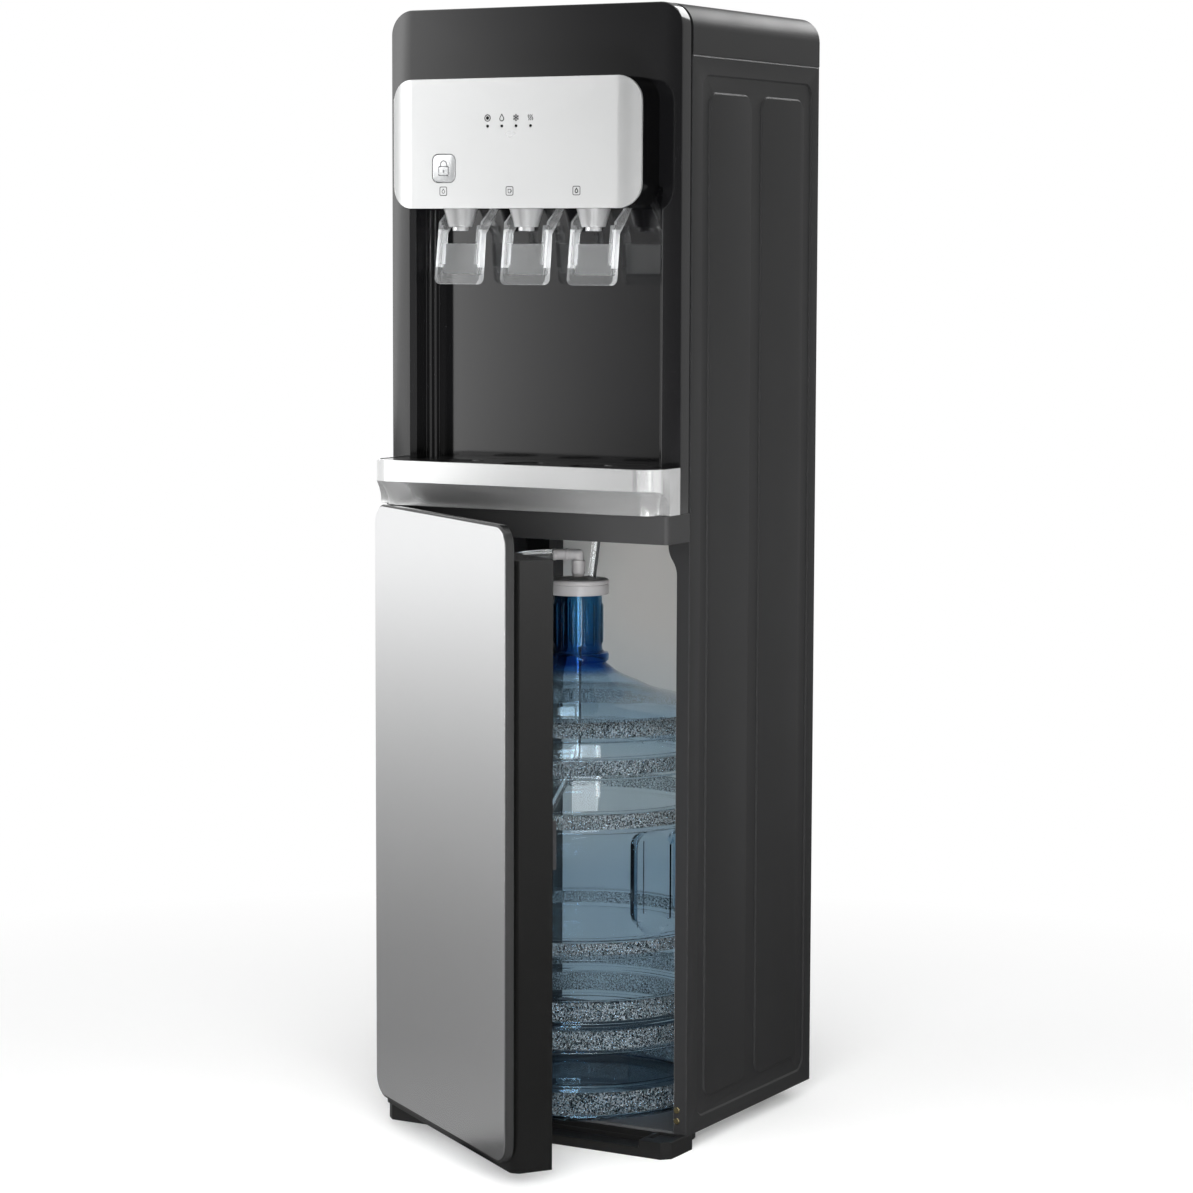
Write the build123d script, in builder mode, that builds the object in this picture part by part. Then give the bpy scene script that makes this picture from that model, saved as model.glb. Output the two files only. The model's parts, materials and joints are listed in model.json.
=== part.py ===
from build123d import *
import os
from math import atan2, cos, degrees, hypot, radians, sin

os.makedirs("parts", exist_ok=True)

# X runs to the right, Y to the back and Z up, in millimetres. The origin lies on the floor, in the
# middle of the width, under the front edge of the side panels.

# ---------------------------------------------------------------- sizes that drive the model
# Cabinet
body_width = 310.0
body_depth = 260.0
ground_gap = 14.6              # floor to the lower edge of the side panels
panel_height = 995.9
cover_height = 46.3
cover_proud = 0.6              # how far the top cover stands out beyond the side panels
cover_wall = 2.6
top_corner = 23.0
sheet = 1.0
fold_radius = 0.8
fit_gap = 0.3                  # between pieces that slip into one another
face_gap = 0.5

# Side panels: flanges and the shallow pressed track round two plain fields
front_flange = 13.5
upper_flange = 22.5
flange_step_height = 28.0
flange_step_below_bar = 4.0
rear_flange = 13.0
press_depth = 1.5
press_slope = 45.0
track_front, track_rear = 19.7, 14.8
track_bottom, track_top = 13.4, 16.9
track_side, track_middle, track_back, track_ends = 15.8, 22.6, 18.0, 17.0
track_corner, field_corner = 14.0, 12.0

# Lower bay, from the floor upwards
plinth_reach, plinth_tail = 36.0, 12.0
plinth_lip, block_height, block_width, block_bevel = 9.0, 16.0, 31.2, 8.0
foot_radius = 10.0
front_foot_x, front_foot_y = 130.0, 44.0
rear_foot_x, rear_foot_y = 118.0, 214.0
pan_thickness = 3.0
pan_step_height, pan_step_depth, pan_step_lean = 50.4, 20.0, 7.0
bay_height = 555.0             # side panels' lower edge to the underside of the header bar
bay_wall = 4.5                 # thickness of the bay's back
duct_width, duct_depth, duct_wall = 26.2, 27.5, 1.5
deck_gap = 1.4                 # header bar's underside to the deck
deck_thickness, deck_flange = 1.5, 12.0
shelf_height = 870.0
header_height, header_reach, header_corner, header_wall = 26.2, 42.5, 4.5, 3.0

# Door, held open in the modelled pose
door_angle = 34.35
hinge_inset, hinge_reach = 18.5, 24.2
pin_radius, pin_clearance, pin_boss = 3.0, 0.05, 7.0
frame_side_gap, frame_thickness, frame_corner = 5.5, 7.4, 20.0
frame_front, frame_bottom, frame_top_gap = 50.8, 24.8, 0.6
skin_thickness, skin_margin, skin_foot = 1.2, 1.8, 2.8
skirt_left_inset, skirt_right_inset, skirt_bottom, skirt_top_gap = 8.0, 7.0, 17.1, 5.0
skirt_rear, skirt_wall, skirt_bevel = 5.0, 2.5, 6.0
skirt_rib_depth, skirt_rib_count = 2.0, 3
pin_boss_height = 12.0
magnet_length, magnet_width, magnet_depth, magnet_z = 44.0, 5.5, 13.6, 310.0

# Bezel, niche and tray
bezel_reach, bezel_wall, bezel_neck, neck_inset = 19.2, 2.6, 3.0, 2.0
bezel_edge = 1.0
jamb_width, jamb_wall, jamb_bevel = 24.3, 2.5, 4.5
niche_bottom, niche_height, niche_depth, niche_wall = 620.0, 270.0, 18.0, 2.5
jamb_step, rib_step = 1.7, 1.5
tray_reach, tray_corner, tray_height, tray_wall = 64.5, 25.0, 42.6, 2.6
band_height = 20.0
cove_depth, cove_brow = 11.0, 0.8
cove_fade, cove_rise = 17.7, 20.4
basin_rim, basin_wall, basin_gap = 3.5, 2.0, 0.5
basin_half_width, basin_tail = 125.0, 17.4
grille_thickness, cup_radius, cup_dish = 3.0, 22.0, 1.0
slot_width, slot_pitch, slot_count = 3.0, 6.4, 5

# Control housing and taps
housing_width, housing_height, housing_bottom = 263.0, 118.2, 872.2
housing_corner, housing_wall = 22.0, 3.0
fascia_reach, fascia_thickness, fascia_flat, fascia_sweep, fascia_edge = 56.7, 2.5, 108.0, 4.7, 0.8
lamp_xs = (-26.8, -11.6, 3.5, 18.8)
lamp_z, lamp_radius = 946.8, 1.2
button_x, button_z, button_width, button_height, button_corner = -74.0, 908.9, 24.5, 25.6, 6.0
button_gap, button_travel, button_lip = 0.6, 2.0, 1.5
board_width, board_height, board_thickness, board_z = 190.0, 62.0, 1.6, 936.0
board_post, board_gap = 3.2, 8.0
tap_pitch, tap_reach = 71.0, 32.0
collar_top, collar_bottom, collar_height = 15.7, 11.2, 16.8
nozzle_radius, nozzle_length, bore_radius = 6.6, 3.7, 4.5
valve_radius, valve_height, spigot_gap, spigot_length = 10.5, 29.0, 0.3, 12.0

# Clear levers
lever_half_width, lever_wall, lever_depth = 24.0, 2.6, 9.0
lever_front_y, lever_bottom_z = 40.0, 802.5
lever_knee_y, lever_knee_z = 31.5, 860.0
lever_neck_y, lever_neck_z = 16.7, 870.5
pivot_y, pivot_z, pivot_boss, pivot_radius = 3.0, 879.0, 5.0, 2.0
paddle_top, paddle_thickness, paddle_corner, paddle_foot = 840.0, 2.5, 6.0, 9.0
grip_gap, grip_width, grip_bottom, grip_top = 1.4, 2.4, 821.0, 857.0
rail_thickness, rail_width, ear_width, ear_gap = 5.5, 14.0, 3.0, 0.4

# Bottle and what draws from it
bottle_wall, bottle_base_bevel = 2.0, 14.0
bottle_side_gap, bottle_door_gap, bottle_step_gap = 2.5, 2.9, 3.2
ring_depth = 4.5
shoulder_base, shoulder_height = 362.4, 46.0
neck_radius, neck_flange_radius, neck_height = 23.0, 29.8, 69.5
handle_angle, pocket_angle, pocket_width, pocket_height = -8.0, 18.0, 37.0, 97.0
pocket_z, pocket_depth, grip_thickness = 225.0, 36.0, 17.0
tunnel_height = 66.0
cap_radius, cap_height, cap_wall, cap_overlap, cap_edge = 29.3, 14.6, 2.4, 5.0, 1.2
stem_radius, stem_height = 6.6, 18.0
arm_radius, arm_length, arm_height, arm_heading = 5.2, 25.0, 23.4, 212.0
tube_radius, tube_wall = 3.3, 0.8
vent_radius, vent_wall = 4.0, 1.0
hose_radius, hose_wall, tube_sides = 4.4, 1.1, 12
grommet_radius, grommet_height = 9.5, 6.0

# Tanks, compressor, pump and the rear fittings
cold_radius, cold_height, cold_x, cold_y = 76.0, 160.0, 62.0, 140.0
hot_radius, hot_height, hot_x, hot_y = 50.0, 150.0, -80.0, 120.0
tank_edge, tank_wall, tank_lid, tank_port = 14.0, 1.2, 8.0, 5.0
compressor_radius, compressor_height, compressor_x, compressor_y = 60.0, 150.0, 80.0, 160.0
compressor_wall, stub_radius, stub_length = 11.0, 4.0, 14.0
mount_radius, mount_height, mount_spread = 9.0, 10.0, 46.0
pump_x, pump_y, pump_width, pump_length, pump_height = -70.0, 130.0, 58.0, 84.0, 52.0
coil_tube, coil_pitch, coil_passes, coil_half_run, coil_bottom = 2.4, 50.0, 10, 114.0, 90.0
coil_standoff, coil_sides = 9.0, 8
wire_size, wire_count, wire_gap = 1.4, 19, 0.1
clip_width, clip_height = 9.0, 12.0
vent_width, vent_height, vent_pitch, vent_rows, vent_columns = 46.0, 4.0, 11.0, 14, 3
vent_bottom = 700.0
switch_x, switch_z, switch_width, switch_height, switch_depth = -100.0, 960.0, 46.0, 34.0, 16.0
switch_plate = 2.5
rocker_width, rocker_height, rocker_gap, rocker_throw, rocker_pitch = 12.6, 21.0, 0.6, 9.0, 20.0
gland_inset, gland_z, gland_radius, gland_reach = 43.0, 606.0, 8.0, 9.0
drain_x, drain_z, drain_radius, drain_reach = 0.0, 606.0, 9.0, 10.0

# ---------------------------------------------------------------- places worked out from the sizes
half = body_width / 2
panel_bottom = ground_gap
panel_top = panel_bottom + panel_height
body_top = panel_top + cover_height
inner_half = half - sheet - press_depth - fit_gap
header_bottom = panel_bottom + bay_height
header_top = header_bottom + header_height
pan_top = panel_bottom + pan_thickness
deck_bottom = header_bottom + deck_gap
deck_top = deck_bottom + deck_thickness
rear_face = body_depth - sheet
bay_back = rear_face - sheet - bay_wall
flange_x = half - front_flange
flange_upper_x = half - upper_flange
opening_half = half - jamb_width
niche_top = niche_bottom + niche_height
tray_bottom = header_top
tray_top = tray_bottom + tray_height
band_bottom = tray_top - band_height
hinge_x, hinge_y = -half + hinge_inset, -hinge_reach
frame_half = half - frame_side_gap
frame_back = frame_front - frame_thickness
frame_top = header_top - frame_top_gap
skin_front = frame_front + skin_thickness
skirt_left, skirt_right = -half + skirt_left_inset, half - skirt_right_inset
skirt_top = header_bottom - skirt_top_gap
skirt_height = skirt_top - skirt_bottom
housing_half = housing_width / 2
gland_x = half - gland_inset
housing_top = housing_bottom + housing_height
housing_front = fascia_reach - fascia_thickness
tap_xs = (-tap_pitch, 0.0, tap_pitch)
tap_names = ("left", "middle", "right")
# The bottle fills the bay from the closed door to the step at the back of the base pan
bottle_front = -frame_back + skirt_wall + bottle_door_gap
bottle_rear = bay_back - fit_gap - pan_step_depth - bottle_step_gap
bottle_radius = (bottle_rear - bottle_front) / 2
bottle_x = -half + sheet + bottle_side_gap + bottle_radius
bottle_y = bottle_front + bottle_radius
bottle_bottom = pan_top


# ---------------------------------------------------------------- drawing helpers
def front_view(y):
    """Upright plane at depth y: local x is X, local y is Z, and its normal points to the front."""
    return Plane.XZ.offset(-y)


def side_view(x):
    """Upright plane at X = x: local x is Y, local y is Z, and its normal points to the right."""
    return Plane.YZ.offset(x)


def on_door(plane):
    """The same plane after the door has swung about its pin to the pose that is modelled."""
    swing = Location((hinge_x, hinge_y, 0), (0, 0, -door_angle)) * Location((-hinge_x, -hinge_y, 0))
    return Plane(swing * plane.location)


def rect(x0, x1, y0, y1, mode=Mode.ADD):
    """Rectangle from corner to corner in the sketch being drawn."""
    with Locations(((x0 + x1) / 2, (y0 + y1) / 2)):
        Rectangle(x1 - x0, y1 - y0, mode=mode)


def rounded(x0, x1, y0, y1, radius, mode=Mode.ADD):
    """Rectangle from corner to corner with rounded corners."""
    with Locations(((x0 + x1) / 2, (y0 + y1) / 2)):
        RectangleRounded(x1 - x0, y1 - y0, radius, mode=mode)


def arch(half_width, z0, z1, radius, mode=Mode.ADD):
    """Upright outline whose two upper corners are rounded."""
    with BuildLine() as outline:
        Polyline((-half_width, z1 - radius), (-half_width, z0), (half_width, z0), (half_width, z1 - radius))
        JernArc((half_width, z1 - radius), (0, 1), radius, 90)
        Line((half_width - radius, z1), (-half_width + radius, z1))
        JernArc((-half_width + radius, z1), (-1, 0), radius, 90)
    make_face(outline.edges(), mode=mode)


def tray_outline(inset, back, mode=Mode.ADD):
    """Plan of the tray: a front with two large rounded corners, cut off square at the back."""
    tail = back + 2 * tray_corner
    rounded(-half + inset, half - inset, -tray_reach + inset, tail, tray_corner - inset, mode=mode)
    rect(-half, half, back, tail, mode=Mode.SUBTRACT)


def at_edge(edges, axis, place, near=0.01):
    """Edges whose centre lies at one place along an axis."""
    return edges.filter_by(lambda edge: abs(edge.center().dot(axis.direction) - place) < near)


# ---------------------------------------------------------------- side panels
step_out = flange_x - flange_upper_x
step_radius = (step_out**2 + flange_step_height**2) / (4 * step_out)
step_turn = 2 * degrees(atan2(step_out, flange_step_height))
step_z = header_bottom - flange_step_below_bar - flange_step_height
track_y0, track_y1 = track_front, body_depth - track_rear
track_z0, track_z1 = panel_bottom + track_bottom, panel_top - track_top
field_z0, field_z1 = track_z0 + track_ends, track_z1 - track_ends
field_width = (track_y1 - track_back - track_y0 - track_side - track_middle) / 2 - 2.5
field_spans = (
    (track_y0 + track_side, track_y0 + track_side + field_width),
    (track_y0 + track_side + field_width + track_middle, track_y1 - track_back),
)


def pressed_track(grow):
    """The pressed track, grown to both sides by the same amount."""
    rounded(track_y0 - grow, track_y1 + grow, track_z0 - grow, track_z1 + grow, track_corner + grow)
    for y0, y1 in field_spans:
        rounded(y0 + grow, y1 - grow, field_z0 + grow, field_z1 - grow, field_corner - grow, Mode.SUBTRACT)


with BuildPart() as side_panel_right:
    with BuildSketch(side_view(half)):
        rect(0, body_depth, panel_bottom, panel_top)
    extrude(amount=-sheet)
    with BuildSketch(front_view(0)):
        with BuildLine():
            low = Polyline((half, panel_bottom), (flange_x, panel_bottom), (flange_x, step_z))
            lean = JernArc(low @ 1, (0, 1), step_radius, step_turn)
            back = JernArc(lean @ 1, lean % 1, step_radius, -step_turn)
            Polyline(back @ 1, (flange_upper_x, panel_top), (half, panel_top), (half, panel_bottom))
        make_face()
    extrude(amount=-sheet)
    with BuildSketch(front_view(body_depth)):
        rect(half - rear_flange, half, panel_bottom, panel_top)
    extrude(amount=sheet)
    folds = side_panel_right.edges().filter_by(Axis.Z).group_by(Axis.X)[-1]
    fillet(folds.sort_by(Axis.Y)[0], radius=fold_radius)
    with BuildSketch(side_view(half - sheet)):
        pressed_track(sheet)
    extrude(amount=-press_depth)
    with BuildSketch(side_view(half)):
        pressed_track(0)
    extrude(amount=-press_depth, taper=press_slope, mode=Mode.SUBTRACT)
side_panel_right.part.label = "side_panel_right"
export_step(side_panel_right.part, "parts/side_panel_right.step")

with BuildPart() as side_panel_left:
    mirror(side_panel_right.part, about=Plane.YZ)
side_panel_left.part.label = "side_panel_left"
export_step(side_panel_left.part, "parts/side_panel_left.step")

# Two zinc screws on the right flange, beside the base
screw_x = flange_x + front_flange / 4
screw_zs = (panel_bottom + 13.7, panel_bottom + 24.1)
screw_radius, screw_head = 3.2, 1.4
with BuildPart() as flange_screws:
    with BuildSketch(front_view(0)):
        with Locations(*((screw_x, z) for z in screw_zs)):
            Circle(screw_radius)
    extrude(amount=screw_head)
    chamfer(at_edge(flange_screws.edges(), Axis.Y, -screw_head), length=0.6)
    with BuildSketch(front_view(-screw_head)):
        with Locations(*((screw_x, z) for z in screw_zs)):
            Rectangle(0.8, 3.4)
            Rectangle(3.4, 0.8)
    extrude(amount=-0.6, mode=Mode.SUBTRACT)
flange_screws.part.label = "flange_screws"
export_step(flange_screws.part, "parts/flange_screws.step")

# ---------------------------------------------------------------- top cover and rear panel
cover_half = half + cover_proud
cover_lip, cover_lip_wall = 6.0, 1.5
with BuildPart() as top_cover:
    with BuildSketch(front_view(0)):
        arch(cover_half, panel_top, body_top, top_corner)
    extrude(amount=-body_depth)
    fillet(at_edge(top_cover.edges(), Axis.Y, body_depth).filter_by(lambda e: e.center().Z > panel_top + 1), radius=1)
    with BuildSketch(front_view(0)):
        arch(cover_half - cover_wall, panel_top, body_top - cover_wall, top_corner - cover_wall)
    extrude(amount=-(body_depth - cover_wall), mode=Mode.SUBTRACT)
    # a lip that drops inside the side panels
    with BuildSketch(Plane.XY.offset(panel_top - cover_lip)):
        for side in (-1, 1):
            with Locations((side * (inner_half - cover_lip_wall / 2), body_depth / 2)):
                Rectangle(cover_lip_wall, body_depth - 40)
    extrude(amount=cover_lip + cover_height / 2)
    with BuildSketch(Plane.XY.offset(panel_top)):
        for side in (-1, 1):
            with Locations((side * (inner_half + 0.5), body_depth / 2)):
                Rectangle(2 * (cover_half - cover_wall - inner_half) + 1, body_depth - 40)
    extrude(amount=cover_lip_wall)
top_cover.part.label = "top_cover"
export_step(top_cover.part, "parts/top_cover.step")

with BuildPart() as rear_panel:
    with BuildSketch(front_view(rear_face)):
        rect(-half + sheet + fit_gap, half - sheet - fit_gap, pan_top, panel_top)
        # louvre slots behind the compressor and the tanks
        with Locations((0, vent_bottom + vent_pitch * (vent_rows - 1) / 2)):
            with GridLocations(vent_width * 1.5, vent_pitch, vent_columns, vent_rows):
                Rectangle(vent_width, vent_height, mode=Mode.SUBTRACT)
        rect(switch_x - switch_width / 2 + 2, switch_x + switch_width / 2 - 2,
             switch_z - switch_height / 2 + 2, switch_z + switch_height / 2 - 2, Mode.SUBTRACT)
        with Locations((gland_x, gland_z)):
            Circle(gland_radius - 2, mode=Mode.SUBTRACT)
        with Locations((drain_x, drain_z)):
            Circle(drain_radius - 3, mode=Mode.SUBTRACT)
    extrude(amount=sheet)
rear_panel.part.label = "rear_panel"
export_step(rear_panel.part, "parts/rear_panel.step")

# ---------------------------------------------------------------- front bezel
bezel_bottom = header_top
sill = niche_bottom - bezel_bottom
bezel_opening_top = niche_top + 2.0
with BuildPart() as front_bezel:
    with BuildSketch(front_view(-bezel_neck)):
        arch(half, bezel_bottom, body_top, top_corner)
    extrude(amount=bezel_reach - bezel_neck)
    fillet(front_bezel.faces().sort_by(Axis.Y)[0].outer_wire().edges(), radius=bezel_edge)
    # neck that seats on the flanges and leaves a dark groove round the bezel
    with BuildSketch(front_view(0)):
        arch(half - neck_inset, bezel_bottom + neck_inset, body_top - neck_inset, top_corner - neck_inset)
    extrude(amount=bezel_neck)
    # hollow back, with a wall round the opening
    with BuildSketch(front_view(0)):
        inset = neck_inset + bezel_wall
        arch(half - inset, bezel_bottom + inset, body_top - inset, top_corner - inset)
        rect(-opening_half - jamb_wall, opening_half + jamb_wall, bezel_bottom,
             bezel_opening_top + jamb_wall, Mode.SUBTRACT)
    extrude(amount=bezel_reach - bezel_wall, mode=Mode.SUBTRACT)
    with BuildSketch(front_view(0)):
        rect(-opening_half, opening_half, niche_bottom, bezel_opening_top)
    extrude(amount=bezel_reach, mode=Mode.SUBTRACT)
    jamb_edges = at_edge(front_bezel.edges().filter_by(Axis.Z), Axis.Y, -bezel_reach)
    chamfer(jamb_edges.filter_by(lambda e: abs(abs(e.center().X) - opening_half) < 0.1), length=jamb_bevel)
front_bezel.part.label = "front_bezel"
export_step(front_bezel.part, "parts/front_bezel.step")

# ---------------------------------------------------------------- niche liner
liner_half = opening_half - jamb_step + niche_wall
with BuildPart() as niche_liner:
    with BuildSketch(Plane.XY.offset(niche_bottom - niche_wall)):
        rect(-liner_half, liner_half, 0, niche_depth + niche_wall)
    extrude(amount=niche_height + 2 * niche_wall)
    # the side walls step in twice towards the back
    with BuildSketch(Plane.XY.offset(niche_bottom)):
        with BuildLine():
            x_front = opening_half - jamb_step
            x_middle = x_front - rib_step
            x_back = x_middle - rib_step
            y_first, y_second, ease = niche_depth * 0.3, niche_depth * 0.65, 1.2
            Polyline((0, 0), (x_front, 0), (x_front, y_first), (x_middle, y_first + ease),
                     (x_middle, y_second), (x_back, y_second + ease), (x_back, niche_depth), (0, niche_depth))
            mirror(about=Plane.YZ)
        make_face()
    extrude(amount=niche_height, mode=Mode.SUBTRACT)
niche_liner.part.label = "niche_liner"
export_step(niche_liner.part, "parts/niche_liner.step")

# ---------------------------------------------------------------- header bar over the bay
with BuildPart() as header_bar:
    with BuildSketch(Plane.XY.offset(header_bottom)):
        rect(-half, half, -header_reach, 0)
    extrude(amount=header_height)
    # the corner at the hinge is round about the pin, clear of the swinging door
    front_corners = header_bar.edges().filter_by(Axis.Z).group_by(Axis.Y)[0].sort_by(Axis.X)
    fillet(front_corners[0], radius=header_reach - hinge_reach)
    fillet(front_corners[-1], radius=header_corner)
    with BuildSketch(Plane.XY.offset(header_top)):
        rounded(-half + header_reach / 2, half - header_wall, -header_reach + header_wall, -header_wall, 1.5)
        with Locations((hinge_x, hinge_y)):
            Circle(pin_boss, mode=Mode.SUBTRACT)
    extrude(amount=-(header_height - header_wall), mode=Mode.SUBTRACT)
    with BuildSketch(Plane.XY.offset(header_bottom)):
        with Locations((hinge_x, hinge_y)):
            Circle(pin_radius)
    extrude(amount=header_height - header_wall, mode=Mode.SUBTRACT)
header_bar.part.label = "header_bar"
export_step(header_bar.part, "parts/header_bar.step")

# ---------------------------------------------------------------- tray trim with its finger cove
cove_z = band_bottom - cove_rise
cove_y = -tray_reach + tray_corner
with BuildPart() as cove:
    with BuildLine() as rim:
        first = JernArc((-half, cove_y), (0, -1), tray_corner, 90)
        run = Line(first @ 1, (half - tray_corner, -tray_reach))
        JernArc(run @ 1, (1, 0), tray_corner, 90)
    with BuildSketch(Plane((-half, cove_y, 0), (1, 0, 0), (0, -1, 0))):
        with BuildLine():
            curl = TangentArc((cove_depth, tray_bottom), (cove_brow, band_bottom), tangent=(0, 1))
            Polyline(curl @ 1, (-1, band_bottom), (-1, tray_bottom - 1), (cove_depth, tray_bottom - 1), curl @ 0)
        make_face()
    sweep(path=rim.wires()[0])
    # the hollow fades out in a rounded end on each flank
    with BuildSketch(side_view(-half - 1)):
        with BuildLine():
            fade = EllipticalCenterArc((cove_y - cove_fade, cove_z), cove_fade, cove_rise, 0, arc_size=90)
            Polyline(fade @ 1, (-tray_reach - 2, band_bottom), (-tray_reach - 2, tray_bottom - 2),
                     (cove_y, tray_bottom - 2), fade @ 0)
        make_face()
    extrude(amount=body_width + 2, mode=Mode.INTERSECT)

with BuildPart() as tray_trim:
    with BuildSketch(Plane.XY.offset(tray_bottom)):
        tray_outline(0, -bezel_reach)
    extrude(amount=tray_height)
    with BuildSketch(Plane.XY.offset(niche_bottom)):
        tray_outline(tray_wall, -bezel_reach)
    extrude(amount=tray_top - niche_bottom, mode=Mode.SUBTRACT)
    add(cove.part, mode=Mode.SUBTRACT)
tray_trim.part.label = "tray_trim"
export_step(tray_trim.part, "parts/tray_trim.step")


# ---------------------------------------------------------------- drip basin and grille
def basin_outline(inset):
    """Plan of the basin: the tray's rounded front and a narrower tail inside the niche."""
    tray_outline(tray_wall + basin_gap + inset, -bezel_reach - basin_gap - inset)
    rect(-basin_half_width + inset, basin_half_width - inset,
         -bezel_reach - basin_gap - inset - 1, basin_tail - inset)


basin_floor = niche_bottom
grille_top = tray_top - face_gap
basin_top = grille_top - grille_thickness
with BuildPart() as drip_basin:
    with BuildSketch(Plane.XY.offset(basin_floor)):
        basin_outline(0)
    extrude(amount=basin_top - basin_floor)
    with BuildSketch(Plane.XY.offset(basin_floor + basin_wall)):
        basin_outline(basin_wall)
    extrude(amount=basin_top - basin_floor - basin_wall, mode=Mode.SUBTRACT)
drip_basin.part.label = "drip_basin"
export_step(drip_basin.part, "parts/drip_basin.step")

with BuildPart() as drip_grille:
    with BuildSketch(Plane.XY.offset(basin_top)):
        basin_outline(0)
    extrude(amount=grille_thickness)
    # a shallow round dish under each tap
    with BuildSketch(Plane.XY.offset(grille_top)):
        with Locations(*((x, -tap_reach) for x in tap_xs)):
            Circle(cup_radius)
    extrude(amount=-cup_dish, mode=Mode.SUBTRACT)
    with BuildSketch(Plane.XY.offset(basin_top)):
        for x in tap_xs:
            for row in range(slot_count):
                offset_y = (row - (slot_count - 1) / 2) * slot_pitch
                reach = (cup_radius - 4) ** 2 - (abs(offset_y) + slot_width / 2) ** 2
                with Locations((x, -tap_reach + offset_y)):
                    Rectangle(2 * reach**0.5, slot_width)
    extrude(amount=grille_thickness, mode=Mode.SUBTRACT)
drip_grille.part.label = "drip_grille"
export_step(drip_grille.part, "parts/drip_grille.step")


# ---------------------------------------------------------------- control housing and fascia
def swept_front(reach):
    """Plan line of the swept front: flat in the middle, drawn back along an arc at both sides."""
    side_x, side_y = housing_half + 1, -reach + fascia_sweep
    flat_x = min(fascia_flat, housing_half - 5)
    right = TangentArc((flat_x, -reach), (side_x, side_y), tangent=(1, 0))
    left = TangentArc((-flat_x, -reach), (-side_x, side_y), tangent=(-1, 0))
    Line(left @ 0, right @ 0)
    return left @ 1, right @ 1


def swept_slab(front, back):
    """Plan of everything between the swept front and a straight back."""
    with BuildLine() as outline:
        left_end, right_end = swept_front(front)
        Polyline(right_end, (housing_half + 1, -back), (-housing_half - 1, -back), left_end)
    make_face(outline.edges())


def housing_outline(inset, mode=Mode.ADD):
    """Front view of the housing."""
    rounded(-housing_half + inset, housing_half - inset, housing_bottom + inset, housing_top - inset,
            housing_corner - inset, mode)


def button_outline(grow, mode=Mode.ADD):
    """Front view of the lock button, or of the window round it."""
    with Locations((button_x, button_z)):
        RectangleRounded(button_width + 2 * grow, button_height + 2 * grow, button_corner + grow, mode=mode)


board_back = housing_front - housing_wall - board_gap
board_x = -5.0
board_corners = [(board_x + sx * (board_width / 2 - 6), board_z + sz * (board_height / 2 - 6))
                 for sx in (-1, 1) for sz in (-1, 1)]
with BuildPart() as control_housing:
    with BuildSketch(front_view(-bezel_reach)):
        housing_outline(0)
    extrude(amount=housing_front - bezel_reach)
    with BuildSketch(front_view(-bezel_reach)):
        housing_outline(housing_wall)
    extrude(amount=housing_front - bezel_reach - housing_wall - fascia_sweep, mode=Mode.SUBTRACT)
    with BuildSketch(front_view(-bezel_reach)):
        with Locations((0, (housing_bottom + housing_top) / 2)):
            Rectangle(2 * fascia_flat, housing_height - 2 * housing_wall)
    extrude(amount=housing_front - bezel_reach - housing_wall, mode=Mode.SUBTRACT)
    with BuildSketch(Plane.XY.offset(housing_bottom - 1)):
        swept_slab(housing_front, bezel_reach)
    extrude(amount=housing_height + 2, mode=Mode.INTERSECT)
    # posts that carry the board
    with BuildSketch(front_view(-board_back)):
        with Locations(*board_corners):
            Circle(board_post)
    extrude(amount=board_gap)
    with BuildSketch(front_view(-board_back)):
        button_outline(button_gap)
    extrude(amount=housing_front, mode=Mode.SUBTRACT)
    # a lip closes the back below the bezel
    with BuildSketch(front_view(-bezel_reach)):
        housing_outline(0)
        rect(-housing_half, housing_half, niche_top + housing_wall, housing_top, Mode.SUBTRACT)
    extrude(amount=2)
    with BuildSketch(Plane.XY.offset(housing_bottom)):
        with Locations(*((x, -tap_reach) for x in tap_xs)):
            Circle(bore_radius)
    extrude(amount=housing_wall, mode=Mode.SUBTRACT)
control_housing.part.label = "control_housing"
export_step(control_housing.part, "parts/control_housing.step")

with BuildPart() as control_fascia:
    with BuildSketch(front_view(-housing_front + fascia_sweep)):
        housing_outline(0)
    extrude(amount=fascia_thickness + fascia_sweep)
    with BuildSketch(Plane.XY.offset(housing_bottom - 1)):
        swept_slab(fascia_reach, bezel_reach)
    extrude(amount=housing_height + 2, mode=Mode.INTERSECT)
    with BuildSketch(Plane.XY.offset(housing_bottom - 1)):
        swept_slab(housing_front, bezel_reach)
    extrude(amount=housing_height + 2, mode=Mode.SUBTRACT)
    with BuildSketch(front_view(-housing_front + fascia_sweep)):
        button_outline(button_gap)
        with Locations(*((x, lamp_z) for x in lamp_xs)):
            Circle(lamp_radius + fit_gap)
    extrude(amount=fascia_thickness + fascia_sweep, mode=Mode.SUBTRACT)
control_fascia.part.label = "control_fascia"
export_step(control_fascia.part, "parts/control_fascia.step")

lamp_proud = 0.3
with BuildPart() as indicator_lenses:
    with BuildSketch(front_view(-housing_front)):
        with Locations(*((x, lamp_z) for x in lamp_xs)):
            Circle(lamp_radius)
    extrude(amount=fascia_thickness + lamp_proud)
indicator_lenses.part.label = "indicator_lenses"
export_step(indicator_lenses.part, "parts/indicator_lenses.step")

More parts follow.
